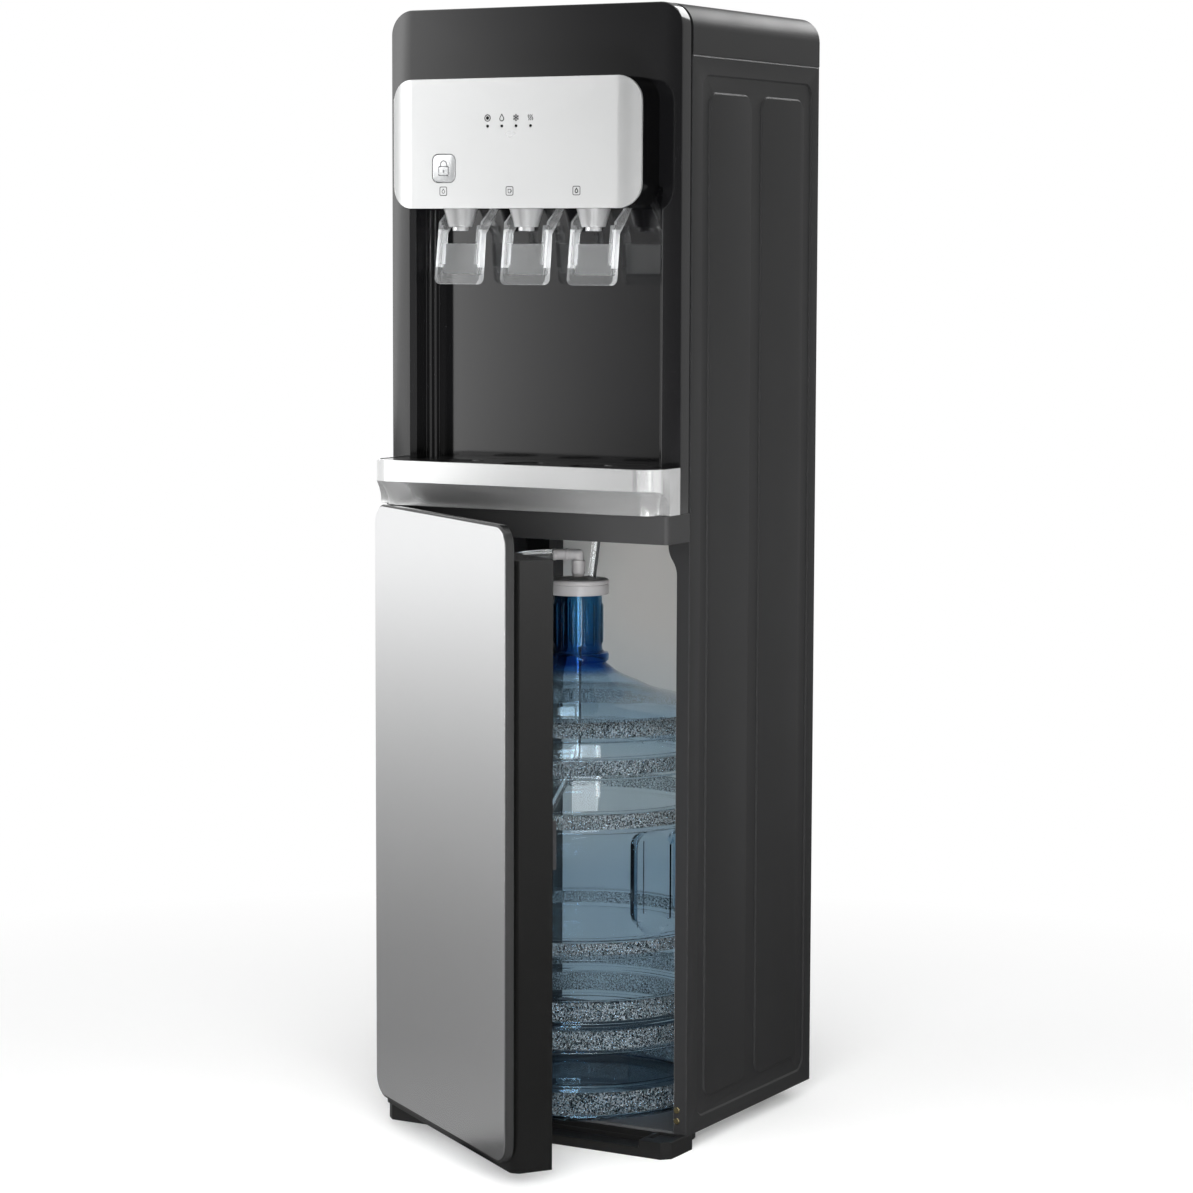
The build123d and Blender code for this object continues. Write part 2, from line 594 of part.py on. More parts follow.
button_proud = 0.4
button_depth = fascia_thickness + housing_wall + button_proud
with BuildPart() as lock_button:
    with BuildSketch(front_view(-fascia_reach - button_proud)):
        button_outline(0)
    extrude(amount=-button_depth)
    chamfer(lock_button.faces().sort_by(Axis.Y)[0].edges(), length=0.6)
    # lip behind the window, and the plunger that meets the switch on the board
    with BuildSketch(front_view(-fascia_reach + fascia_thickness + housing_wall + fit_gap)):
        button_outline(button_gap + button_lip)
    extrude(amount=-1.5)
    with BuildSketch(front_view(-fascia_reach + fascia_thickness + housing_wall)):
        button_outline(-2)
    extrude(amount=-1.5)
    with BuildSketch(front_view(-board_back - button_travel - fit_gap)):
        with Locations((button_x, button_z + 3)):
            Circle(2.0)
    extrude(until=Until.NEXT)
lock_button.part.label = "lock_button"
export_step(lock_button.part, "parts/lock_button.step")

with BuildPart() as control_board:
    with BuildSketch(front_view(-board_back)):
        with Locations((board_x, board_z)):
            Rectangle(board_width, board_height)
    extrude(amount=-board_thickness)
    # connectors on the rear of the board
    with BuildSketch(front_view(-board_back + board_thickness)):
        for x in (-60, -20, 20, 60):
            with Locations((board_x + x, board_z + board_height / 2 - 9)):
                Rectangle(16, 8)
    extrude(amount=-8)
control_board.part.label = "control_board"
export_step(control_board.part, "parts/control_board.step")

# ---------------------------------------------------------------- taps: a collar and a valve each
collar_end = housing_bottom - collar_height
nozzle_end = collar_end - nozzle_length
for x, name in zip(tap_xs, tap_names):
    with BuildPart() as tap_collar:
        with BuildSketch(front_view(-tap_reach)):
            with BuildLine():
                Polyline((x + bore_radius, nozzle_end), (x + nozzle_radius, nozzle_end),
                         (x + nozzle_radius, collar_end), (x + collar_bottom, collar_end))
                Polyline((x + collar_bottom, collar_end), (x + collar_top, housing_bottom),
                         (x + bore_radius, housing_bottom), (x + bore_radius, nozzle_end))
            make_face()
        revolve(axis=Axis((x, -tap_reach, 0), (0, 0, 1)))
        chamfer(at_edge(tap_collar.edges(), Axis.Z, collar_end).sort_by(SortBy.LENGTH)[-1], length=1.0)
    tap_collar.part.label = f"tap_collar_{name}"
    export_step(tap_collar.part, f"parts/tap_collar_{name}.step")

    # the valve stands on the housing's floor, and its spigot reaches into the collar
    valve_base = housing_bottom + housing_wall
    with BuildPart() as tap_valve:
        with BuildSketch(Plane.XY.offset(valve_base)):
            with Locations((x, -tap_reach)):
                Circle(valve_radius)
        extrude(amount=valve_height)
        with BuildSketch(Plane.XY.offset(valve_base)):
            with Locations((x, -tap_reach)):
                Circle(bore_radius - spigot_gap)
        extrude(amount=-spigot_length)
        # inlet stub on top, and the water's way through
        with BuildSketch(Plane.XY.offset(valve_base + valve_height)):
            with Locations((x, -tap_reach)):
                Circle(bore_radius)
        extrude(amount=valve_height / 3)
        with BuildSketch(Plane.XY.offset(valve_base - spigot_length)):
            with Locations((x, -tap_reach)):
                Circle(bore_radius - spigot_gap - 1.2)
        extrude(amount=spigot_length + valve_height * 4 / 3, mode=Mode.SUBTRACT)
    tap_valve.part.label = f"tap_valve_{name}"
    export_step(tap_valve.part, f"parts/tap_valve_{name}.step")

# ---------------------------------------------------------------- clear levers on their rail
slope = hypot(lever_knee_y - lever_neck_y, lever_neck_z - lever_knee_z)
arm_y = lever_depth * (lever_neck_z - lever_knee_z) / slope
arm_z = lever_depth * (lever_knee_y - lever_neck_y) / slope
ear_x = lever_half_width - lever_wall - ear_gap


def lever_side():
    """Side view of one arm: down from the pivot, forward, then down to the paddle's foot."""
    with BuildLine() as outline:
        Polyline((-pivot_y - 2, pivot_z + pivot_boss * 0.6), (-lever_neck_y, lever_neck_z),
                 (-lever_knee_y, lever_knee_z), (-lever_front_y, lever_bottom_z),
                 (-lever_front_y + lever_depth, lever_bottom_z),
                 (-lever_knee_y + lever_depth * 0.62, lever_knee_z - lever_depth * 1.2),
                 (-lever_neck_y + arm_y, lever_neck_z - arm_z), (-pivot_y + 1, pivot_z - pivot_boss * 0.8),
                 (-pivot_y - 2, pivot_z + pivot_boss * 0.6))
    make_face(outline.edges())
    with Locations((-pivot_y, pivot_z)):
        Circle(pivot_boss)


for x, name in zip(tap_xs, tap_names):
    with BuildPart() as lever:
        for side in (-1, 1):
            outer = x + side * lever_half_width
            with BuildSketch(side_view(outer)):
                lever_side()
            extrude(amount=-side * lever_wall)
            # inner grip bar beside a narrow slot
            with BuildSketch(side_view(outer - side * (lever_wall + grip_gap))):
                lever_side()
                rect(-lever_front_y - 1, pivot_boss, grip_top, pivot_z + 10, Mode.SUBTRACT)
                rect(-lever_front_y - 1, 0, lever_bottom_z - 1, grip_bottom, Mode.SUBTRACT)
            extrude(amount=-side * grip_width)
            # web that joins the bar to the arm
            with BuildSketch(side_view(outer - side * lever_wall / 2)):
                lever_side()
                rect(-lever_front_y - 1, pivot_boss, grip_top, pivot_z + 10, Mode.SUBTRACT)
                rect(-lever_front_y - 1, 0, lever_bottom_z - 1, grip_top - 6, Mode.SUBTRACT)
            extrude(amount=-side * (lever_wall / 2 + grip_gap + grip_width / 2))
        # paddle between the arms, along their rear edge
        with BuildSketch(side_view(x - lever_half_width + lever_wall / 2)) as paddle:
            lean = (lever_front_y - lever_knee_y) / (lever_knee_z - lever_bottom_z)
            top_y = -lever_front_y + lever_depth + lean * (paddle_top - lever_bottom_z) * 0.8
            foot_z = lever_bottom_z + paddle_foot
            foot_y = -lever_front_y + lever_depth + lean * paddle_foot * 0.8
            with BuildLine():
                Polyline((-lever_front_y + lever_depth, lever_bottom_z), (top_y, paddle_top),
                         (top_y - paddle_thickness, paddle_top), (foot_y - paddle_thickness, foot_z),
                         (-lever_front_y + 2, foot_z), (-lever_front_y, lever_bottom_z),
                         (-lever_front_y + lever_depth, lever_bottom_z))
            make_face()
        extrude(amount=2 * lever_half_width - lever_wall)
        # rounded lower corners
        with BuildSketch(front_view(0)):
            with BuildLine():
                z_low, z_high = lever_bottom_z, lever_bottom_z + paddle_corner
                edge_x = x + lever_half_width
                Polyline((edge_x + 1, z_low - 1), (edge_x + 1, z_high), (edge_x, z_high))
                RadiusArc((edge_x, z_high), (edge_x - paddle_corner, z_low), paddle_corner)
                Polyline((edge_x - paddle_corner, z_low), (edge_x - paddle_corner, z_low - 1),
                         (edge_x + 1, z_low - 1))
            make_face()
            mirror(about=Plane.YZ.offset(x))
        extrude(amount=lever_front_y + 5, mode=Mode.SUBTRACT)
        with BuildSketch(side_view(x - lever_half_width - 1)):
            with Locations((-pivot_y, pivot_z)):
                Circle(pivot_radius + pin_clearance)
        extrude(amount=2 * lever_half_width + 2, mode=Mode.SUBTRACT)
    lever.part.label = f"lever_{name}"
    export_step(lever.part, f"parts/lever_{name}.step")

rail_half = tap_pitch + lever_half_width + 8
rail_bottom = niche_top - rail_thickness
with BuildPart() as lever_rail:
    with BuildSketch(Plane.XY.offset(rail_bottom)):
        rect(-rail_half, rail_half, -pivot_y - rail_width / 2, -pivot_y + rail_width)
    extrude(amount=rail_thickness)
    for x in tap_xs:
        for side in (-1, 1):
            with BuildSketch(side_view(x + side * ear_x)):
                with Locations((-pivot_y, pivot_z)):
                    Circle(pivot_boss)
                rect(-pivot_y - pivot_boss, -pivot_y + pivot_boss, pivot_z, rail_bottom)
                with Locations((-pivot_y, pivot_z)):
                    Circle(pivot_radius, mode=Mode.SUBTRACT)
            extrude(amount=-side * ear_width)
lever_rail.part.label = "lever_rail"
export_step(lever_rail.part, "parts/lever_rail.step")

with BuildPart() as lever_pins:
    for x in tap_xs:
        with BuildSketch(side_view(x - lever_half_width - fit_gap)):
            with Locations((-pivot_y, pivot_z)):
                Circle(pivot_radius)
        extrude(amount=2 * (lever_half_width + fit_gap))
lever_pins.part.label = "lever_pins"
export_step(lever_pins.part, "parts/lever_pins.step")

# ---------------------------------------------------------------- plinth, feet, base pan
with BuildPart() as base_plinth:
    with BuildSketch(Plane.XY):
        rect(-half, half, -plinth_reach, plinth_tail)
    extrude(amount=plinth_lip)
    with BuildSketch(Plane.XY):
        rect(-half, half, 0, plinth_tail)
    extrude(amount=panel_bottom)
    with BuildSketch(Plane.XY):
        for side in (-1, 1):
            with Locations((side * (half - block_width / 2), -plinth_reach / 2)):
                Rectangle(block_width, plinth_reach)
    extrude(amount=block_height)
    outer_corners = base_plinth.edges().filter_by(Axis.Z).group_by(Axis.Y)[0]
    chamfer(outer_corners.filter_by(lambda e: abs(abs(e.center().X) - half) < 0.1), length=block_bevel)
    # shallow tray in the lip, and a pocket in the top of each block
    with BuildSketch(Plane.XY.offset(plinth_lip)):
        lip_edge = 3.0
        rect(-half + block_width + lip_edge, half - block_width - lip_edge, -plinth_reach + lip_edge, -1)
    extrude(amount=-plinth_lip / 2, mode=Mode.SUBTRACT)
    with BuildSketch(Plane.XY.offset(block_height)):
        pocket_in = 4.0
        rect(half - block_width + pocket_in, half - pocket_in - block_bevel / 2,
             -plinth_reach + pocket_in + block_bevel, -2)
    extrude(amount=-2.5, mode=Mode.SUBTRACT)
    with BuildSketch(Plane.XY.offset(block_height)):
        with Locations((hinge_x, hinge_y)):
            Circle(pin_radius)
    extrude(amount=-pin_boss_height, mode=Mode.SUBTRACT)
base_plinth.part.label = "base_plinth"
export_step(base_plinth.part, "parts/base_plinth.step")

foot_places = [(-front_foot_x, front_foot_y), (front_foot_x, front_foot_y),
               (-rear_foot_x, rear_foot_y), (rear_foot_x, rear_foot_y)]
with BuildPart() as feet:
    with BuildSketch(Plane.XY):
        with Locations(*foot_places):
            Circle(foot_radius)
    extrude(amount=panel_bottom)
    chamfer(at_edge(feet.edges(), Axis.Z, 0), length=1.5)
feet.part.label = "feet"
export_step(feet.part, "parts/feet.step")

with BuildPart() as base_pan:
    with BuildSketch(Plane.XY.offset(panel_bottom)):
        rect(-inner_half, inner_half, sheet + fit_gap, rear_face - sheet - fit_gap)
    extrude(amount=pan_thickness)
    # raised step along the back, hollow underneath
    step_y1 = bay_back - fit_gap
    step_y0 = step_y1 - pan_step_depth
    with BuildSketch(side_view(-inner_half + duct_width + fit_gap)):
        with BuildLine():
            Polyline((step_y0, pan_top), (step_y0 + pan_step_lean, pan_top + pan_step_height),
                     (step_y1, pan_top + pan_step_height), (step_y1, pan_top), (step_y0, pan_top))
        make_face()
    extrude(amount=2 * inner_half - duct_width - fit_gap)
base_pan.part.label = "base_pan"
export_step(base_pan.part, "parts/base_pan.step")

# ---------------------------------------------------------------- bay walls, deck and shelf
step_top = pan_top + pan_step_height
duct_right = -inner_half + duct_width
with BuildPart() as compartment_back:
    with BuildSketch(front_view(bay_back)):
        rect(duct_right, half - sheet - fit_gap, pan_top, deck_bottom - fit_gap)
    extrude(amount=-bay_wall)
compartment_back.part.label = "compartment_back"
export_step(compartment_back.part, "parts/compartment_back.step")

with BuildPart() as corner_duct:
    with BuildSketch(Plane.XY.offset(pan_top)):
        rect(-inner_half, duct_right - fit_gap, bay_back - duct_depth, bay_back + bay_wall - fit_gap)
        rect(-inner_half + duct_wall, duct_right - fit_gap - duct_wall, bay_back - duct_depth + duct_wall,
             bay_back + bay_wall - fit_gap - duct_wall, Mode.SUBTRACT)
    extrude(amount=deck_bottom - pan_top - fit_gap)
corner_duct.part.label = "corner_duct"
export_step(corner_duct.part, "parts/corner_duct.step")

suction_port = (-122.0, 66.0)
vent_port = (bottle_x + 15.5, bottle_y + 12.0)
with BuildPart() as mid_deck:
    with BuildSketch(Plane.XY.offset(deck_bottom)):
        rect(-inner_half, inner_half, sheet + fit_gap, rear_face - sheet - fit_gap)
        with Locations(suction_port, vent_port):
            Circle(grommet_radius - 2.5, mode=Mode.SUBTRACT)
    extrude(amount=deck_thickness)
    with BuildSketch(Plane.XY.offset(deck_top)):
        for side in (-1, 1):
            with Locations((side * (inner_half - deck_thickness / 2), body_depth / 2)):
                Rectangle(deck_thickness, body_depth - 30)
    extrude(amount=deck_flange)
mid_deck.part.label = "mid_deck"
export_step(mid_deck.part, "parts/mid_deck.step")

with BuildPart() as tank_shelf:
    shelf_front = niche_depth + niche_wall + 3
    shelf_back = rear_face - sheet - fit_gap
    with BuildSketch(Plane.XY.offset(shelf_height - deck_thickness)):
        rect(-inner_half, inner_half, shelf_front, shelf_back)
    extrude(amount=deck_thickness)
    with BuildSketch(Plane.XY.offset(shelf_height - deck_thickness)):
        for side in (-1, 1):
            with Locations((side * (inner_half - deck_thickness / 2), (shelf_front + shelf_back) / 2)):
                Rectangle(deck_thickness, shelf_back - shelf_front)
    extrude(amount=-deck_flange)
tank_shelf.part.label = "tank_shelf"
export_step(tank_shelf.part, "parts/tank_shelf.step")

# ---------------------------------------------------------------- door
with BuildPart() as door_skin:
    with BuildSketch(on_door(front_view(-frame_front))):
        rounded(-frame_half + skin_margin, frame_half - skin_margin, frame_bottom + skin_foot,
                frame_top - skin_margin, frame_corner - skin_margin)
    extrude(amount=skin_thickness)
door_skin.part.label = "door_skin"
export_step(door_skin.part, "parts/door_skin.step")

with BuildPart() as door_frame:
    with BuildSketch(on_door(front_view(-frame_back))):
        rounded(-frame_half, frame_half, frame_bottom, frame_top, frame_corner)
    extrude(amount=frame_thickness)
    forward = Axis((0, 0, 0), on_door(front_view(0)).z_dir)
    fillet(door_frame.faces().sort_by(forward)[-1].edges(), radius=1.4)
door_frame.part.label = "door_frame"
export_step(door_frame.part, "parts/door_frame.step")

with BuildPart() as door_liner:
    with BuildSketch(on_door(Plane.XY.offset(skirt_bottom))):
        with BuildLine():
            front, rear = -frame_back, -skirt_rear
            Polyline((skirt_left + skirt_bevel, front), (skirt_right - skirt_bevel, front),
                     (skirt_right, front + skirt_bevel), (skirt_right, rear), (skirt_left, rear),
                     (skirt_left, front + skirt_bevel), (skirt_left + skirt_bevel, front))
        make_face()
    extrude(amount=skirt_height)
    # open towards the bottle
    with BuildSketch(on_door(Plane.XY.offset(skirt_bottom + skirt_wall))):
        with BuildLine():
            deep = -frame_back + skirt_wall
            x0, x1 = skirt_left + skirt_wall, skirt_right - skirt_wall
            Polyline((x0 + skirt_bevel, deep), (x1 - skirt_bevel, deep), (x1, deep + skirt_bevel),
                     (x1, 0), (x0, 0), (x0, deep + skirt_bevel), (x0 + skirt_bevel, deep))
        make_face()
    extrude(amount=skirt_height - 2 * skirt_wall, mode=Mode.SUBTRACT)
    # the floor of the hollow is cut away in an arc round the bottle, where it stands with the door shut
    with BuildSketch(on_door(Plane.XY.offset(skirt_bottom))):
        with Locations((bottle_x, bottle_y)):
            Circle(bottle_radius + bottle_door_gap - skirt_wall)
    extrude(amount=skirt_wall, mode=Mode.SUBTRACT)
    # bosses for the two hinge pins
    for low in (skirt_bottom, skirt_top - pin_boss_height):
        with BuildSketch(on_door(Plane.XY.offset(low))):
            with Locations((hinge_x, hinge_y)):
                Circle(pin_boss)
        extrude(amount=pin_boss_height)
        with BuildSketch(on_door(Plane.XY.offset(low))):
            with Locations((hinge_x, hinge_y)):
                Circle(pin_radius + pin_clearance)
        extrude(amount=pin_boss_height, mode=Mode.SUBTRACT)
door_liner.part.label = "door_liner"
export_step(door_liner.part, "parts/door_liner.step")

with BuildPart() as door_magnet:
    with BuildSketch(on_door(side_view(skirt_right - skirt_wall))):
        with Locations((-magnet_depth / 2 - fit_gap, magnet_z)):
            Rectangle(magnet_depth, magnet_length)
    extrude(amount=-magnet_width)
door_magnet.part.label = "door_magnet"
export_step(door_magnet.part, "parts/door_magnet.step")

pin_stand = 10.5
with BuildPart() as door_pins:
    lower_start = block_height - pin_boss_height
    with BuildSketch(Plane.XY.offset(lower_start)):
        with Locations((hinge_x, hinge_y)):
            Circle(pin_radius)
    extrude(amount=skirt_bottom + pin_stand - lower_start)
    with BuildSketch(Plane.XY.offset(skirt_top - pin_stand)):
        with Locations((hinge_x, hinge_y)):
            Circle(pin_radius)
    extrude(amount=header_top - header_wall - skirt_top + pin_stand)
door_pins.part.label = "door_pins"
export_step(door_pins.part, "parts/door_pins.step")

# ---------------------------------------------------------------- bottle
# Heights above the bottle's base where the wall steps between raised rings and plain bands
ring_bands = ((3.4, 33.4), (67.4, 88.4), (95.4, 114.4), (156.4, 173.4), (276.4, 293.4), (327.4, 344.4))
# The shoulder's outline: shares of the radius at heights above the shoulder's base
shoulder_line = ((1.0, 8.0), (0.963, 14.5), (0.866, 22.0), (0.692, 28.0), (0.591, 31.5), (0.446, 40.0),
                 (0.302, 48.4), (0.244, 54.0))
shoulder_rise = 60.5
neck_base = shoulder_base + shoulder_rise
neck_top = neck_base + neck_height


def bottle_profile(inset):
    """Half outline of the bottle, drawn inset from the true outside by one wall."""
    r_ring, r_band = bottle_radius - inset, bottle_radius - ring_depth - inset
    ease = 3.0
    points = [(0, inset), (r_ring - bottle_base_bevel, inset), (r_ring, bottle_base_bevel)]
    for low, high in ring_bands:
        if low > 5:
            points += [(r_band, low - ease), (r_ring, low)]
        points += [(r_ring, high), (r_band, high + ease)]
    points += [(r_band, shoulder_base - ease), (r_ring, shoulder_base)]
    for share, z in shoulder_line:
        points.append((share * bottle_radius - inset, shoulder_base + z - inset / 2))
    points += [ (neck_radius + 4 - inset, neck_base - 1.5 * inset)]
    if inset:
        points += [(neck_radius - inset, neck_base), (neck_radius - inset, neck_top), (0, neck_top)]
    else:
        points += [(neck_flange_radius, neck_base), (neck_flange_radius, neck_base + 8),
                   (neck_radius, neck_base + 9), (neck_radius, neck_top), (0, neck_top)]
    with BuildLine() as outline:
        Polyline(*[(bottle_x + r, bottle_bottom + z) for r, z in points], close=True)
    make_face(outline.edges())


def handle_hollow(grow):
    """The finger room of the handle: two upright pockets, joined behind the grip."""
    z = bottle_bottom + pocket_z
    for angle in (handle_angle - pocket_angle, handle_angle + pocket_angle):
        out = Vector(1, 0, 0).rotate(Axis.Z, angle)
        start = Vector(bottle_x, bottle_y, z) + out * (bottle_radius - pocket_depth - grow)
        with BuildSketch(Plane(start, Vector(0, 1, 0).rotate(Axis.Z, angle), out)) as pocket:
            SlotOverall(pocket_height + 2 * grow, pocket_width + 2 * grow, rotation=90)
        extrude(pocket.sketch, amount=2 * pocket_depth)
    out = Vector(1, 0, 0).rotate(Axis.Z, handle_angle)
    start = Vector(bottle_x, bottle_y, z) + out * (bottle_radius - pocket_depth - grow)
    with BuildSketch(Plane(start, Vector(0, 1, 0).rotate(Axis.Z, handle_angle), out)) as tunnel:
        Rectangle(2 * pocket_width, tunnel_height + 2 * grow)
    extrude(tunnel.sketch, amount=pocket_depth - grip_thickness + 2 * grow)


bottle_axis = Axis((bottle_x, bottle_y, 0), (0, 0, 1))
with BuildPart() as finger_room:
    handle_hollow(0)
with BuildPart() as finger_room_wall:
    handle_hollow(bottle_wall)
with BuildPart() as bottle_inside:
    with BuildSketch(front_view(bottle_y)):
        bottle_profile(bottle_wall)
    revolve(axis=bottle_axis)
    add(finger_room_wall.part, mode=Mode.SUBTRACT)
with BuildPart() as bottle:
    with BuildSketch(front_view(bottle_y)):
        bottle_profile(0)
    revolve(axis=bottle_axis)
    add(finger_room.part, mode=Mode.SUBTRACT)
    add(bottle_inside.part, mode=Mode.SUBTRACT)
bottle.part.label = "bottle"
export_step(bottle.part, "parts/bottle.step")

# ---------------------------------------------------------------- probe cap, elbow and tubes
cap_bottom = bottle_bottom + neck_top - cap_overlap
cap_top = cap_bottom + cap_height
cap_spot = (bottle_x, bottle_y)
tube_gap = 0.2
with BuildPart() as probe_cap:
    with BuildSketch(Plane.XY.offset(cap_bottom)):
        with Locations(cap_spot):
            Circle(cap_radius)
    extrude(amount=cap_height)
    chamfer(at_edge(probe_cap.edges(), Axis.Z, cap_top), length=cap_edge)
    with BuildSketch(Plane.XY.offset(cap_bottom)):
        with Locations(cap_spot):
            Circle(neck_radius + tube_gap)
    extrude(amount=cap_overlap, mode=Mode.SUBTRACT)
    with BuildSketch(Plane.XY.offset(cap_bottom)):
        with Locations(cap_spot):
            Circle(tube_radius + tube_gap)
    extrude(amount=cap_height, mode=Mode.SUBTRACT)
probe_cap.part.label = "probe_cap"
export_step(probe_cap.part, "parts/probe_cap.step")

arm_z_level = cap_top + arm_height
arm_dir = Vector(cos(radians(arm_heading)), sin(radians(arm_heading)), 0)
arm_end = Vector(bottle_x, bottle_y, arm_z_level) + arm_dir * arm_length
with BuildPart() as elbow_fitting:
    with BuildSketch(Plane.XY.offset(cap_top)):
        with Locations(cap_spot):
            Circle(stem_radius)
    extrude(amount=stem_height)
    with BuildSketch(Plane.XY.offset(cap_top + stem_height)):
        with Locations(cap_spot):
            Circle(arm_radius)
    extrude(amount=arm_height - stem_height)
    with Locations((bottle_x, bottle_y, arm_z_level)):
        Sphere(arm_radius)
    with BuildSketch(Plane((bottle_x, bottle_y, arm_z_level), z_dir=arm_dir)):
        Circle(arm_radius)
    extrude(amount=arm_length)
    with BuildSketch(Plane(arm_end - arm_dir * (arm_length - 6), z_dir=arm_dir)):
        Circle(arm_radius - 1.6)
    extrude(amount=arm_length - 6, mode=Mode.SUBTRACT)
elbow_fitting.part.label = "elbow_fitting"
export_step(elbow_fitting.part, "parts/elbow_fitting.step")


def tube_along(points, radii, outer, wall):
    """Hollow tube, many-sided in section, along straight runs that are joined by tangent arcs."""
    with BuildLine() as route:
        FilletPolyline(*points, radius=radii)
    way = route.wires()[0]
    with BuildSketch(Plane(way @ 0, z_dir=way % 0)) as ring:
        RegularPolygon(outer, tube_sides)
        RegularPolygon(outer - wall, tube_sides, mode=Mode.SUBTRACT)
    sweep(ring.sketch, path=way)


# The dip tube hangs from the cap, leans aside halfway and runs down to the foot of the bottle
dip_foot = bottle_bottom + 14.0
dip_lean, dip_bend_high, dip_bend_low = 34.0, 327.0, 262.0
lean_top, lean_low = bottle_bottom + dip_bend_high, bottle_bottom + dip_bend_low
dip_points = [(bottle_x, bottle_y, cap_top), (bottle_x, bottle_y, lean_top),
              (bottle_x - dip_lean, bottle_y - 6, lean_low), (bottle_x - dip_lean, bottle_y - 6, dip_foot)]
with BuildPart() as dip_tube:
    tube_along(dip_points, [40.0, 40.0], tube_radius, tube_wall)
dip_tube.part.label = "dip_tube"
export_step(dip_tube.part, "parts/dip_tube.step")


def corner_radii(points):
    """The largest arc for each corner: 0.45 of the shorter run over the tangent of half the turn."""
    radii = []
    for before, corner, after in zip(points, points[1:], points[2:]):
        first, second = Vector(*corner) - Vector(*before), Vector(*after) - Vector(*corner)
        half_turn = radians(first.get_angle(second)) / 2
        radii.append(0.45 * min(first.length, second.length) * cos(half_turn) / sin(half_turn))
    return radii


# Suction hose: out of the elbow, down in a slack bow beside the neck, and up to the deck
near, far = (-91.0, 35.0), (-133.0, 77.0)
bow_middle = ((near[0] + far[0]) / 2, (near[1] + far[1]) / 2)
bow_z, bow_step = 495.7, 17.2
hose_points = [
    (arm_end.X, arm_end.Y, arm_z_level),
    (arm_end.X + 27 * arm_dir.X, arm_end.Y + 27 * arm_dir.Y, arm_z_level),
    (-80.0, 49.0, arm_z_level - 8),
    (*near, bow_z + bow_step),
    (*near, bow_z - bow_step),
    (*bow_middle, bow_z - 2 * bow_step),
    (*far, bow_z - bow_step),
    (*far, bow_z + bow_step),
    (*suction_port, deck_top - 27.5),
    (*suction_port, deck_top),
]
with BuildPart() as suction_hose:
    tube_along(hose_points, corner_radii(hose_points), hose_radius, hose_wall)
suction_hose.part.label = "suction_hose"
export_step(suction_hose.part, "parts/suction_hose.step")

vent_start = Vector(bottle_x + 10.5, bottle_y + 8.0, cap_top)
vent_end = Vector(vent_port[0], vent_port[1], deck_top)
with BuildPart() as vent_hose:
    along = (vent_end - vent_start).normalized()
    with BuildSketch(Plane(vent_start - along * 2, z_dir=along)):
        Circle(vent_radius)
        Circle(vent_radius - vent_wall, mode=Mode.SUBTRACT)
    extrude(amount=(vent_end - vent_start).length + 4)
    with BuildSketch(Plane.XY.offset(cap_top)):
        with Locations(cap_spot):
            Circle(cap_radius + 10)
    extrude(amount=deck_top - cap_top, mode=Mode.INTERSECT)
vent_hose.part.label = "vent_hose"
export_step(vent_hose.part, "parts/vent_hose.step")

with BuildPart() as hose_grommets:
    for spot, bore in ((suction_port, hose_radius), (vent_port, vent_radius)):
        with BuildSketch(Plane.XY.offset(deck_bottom - (grommet_height - deck_thickness) / 2)):
            with Locations(spot):
                Circle(grommet_radius)
                Circle(bore + 0.7, mode=Mode.SUBTRACT)
        extrude(amount=grommet_height)
        with BuildSketch(Plane.XY.offset(deck_bottom)):
            with Locations(spot):
                Circle(grommet_radius)
                Circle(grommet_radius - 2.5, mode=Mode.SUBTRACT)
        extrude(amount=deck_thickness, mode=Mode.SUBTRACT)
hose_grommets.part.label = "hose_grommets"
export_step(hose_grommets.part, "parts/hose_grommets.step")


# ---------------------------------------------------------------- tanks
tanks = (("cold_tank", cold_radius, cold_height, cold_x, cold_y), ("hot_tank", hot_radius, hot_height, hot_x, hot_y))
for name, radius, height, x, y in tanks:
    with BuildPart() as tank:
        for inset, mode in ((0, Mode.ADD), (tank_wall, Mode.SUBTRACT)):
            with BuildSketch(front_view(y)):
                low, high = shelf_height + inset, shelf_height + height - inset
                wide = x + radius - inset
                with BuildLine():
                    Polyline((x, low), (wide - tank_edge, low), (wide, low + tank_edge / 2),
                             (wide, high - tank_edge / 2), (wide - tank_edge, high), (x, high), (x, low))
                make_face()
            revolve(axis=Axis((x, y, 0), (0, 0, 1)), mode=mode)
        # two ports that open into the tank
        with BuildSketch(Plane.XY.offset(shelf_height + height)) as ports:
            with Locations((x - radius / 3, y), (x + radius / 3, y)):
                Circle(tank_port)
        extrude(ports.sketch, amount=tank_lid)
        with BuildSketch(Plane.XY.offset(shelf_height + height + tank_lid)) as bores:
            with Locations((x - radius / 3, y), (x + radius / 3, y)):
                Circle(tank_port - tank_wall)
        extrude(bores.sketch, amount=-(tank_lid + 2 * tank_wall), mode=Mode.SUBTRACT)
    tank.part.label = name
    export_step(tank.part, f"parts/{name}.step")

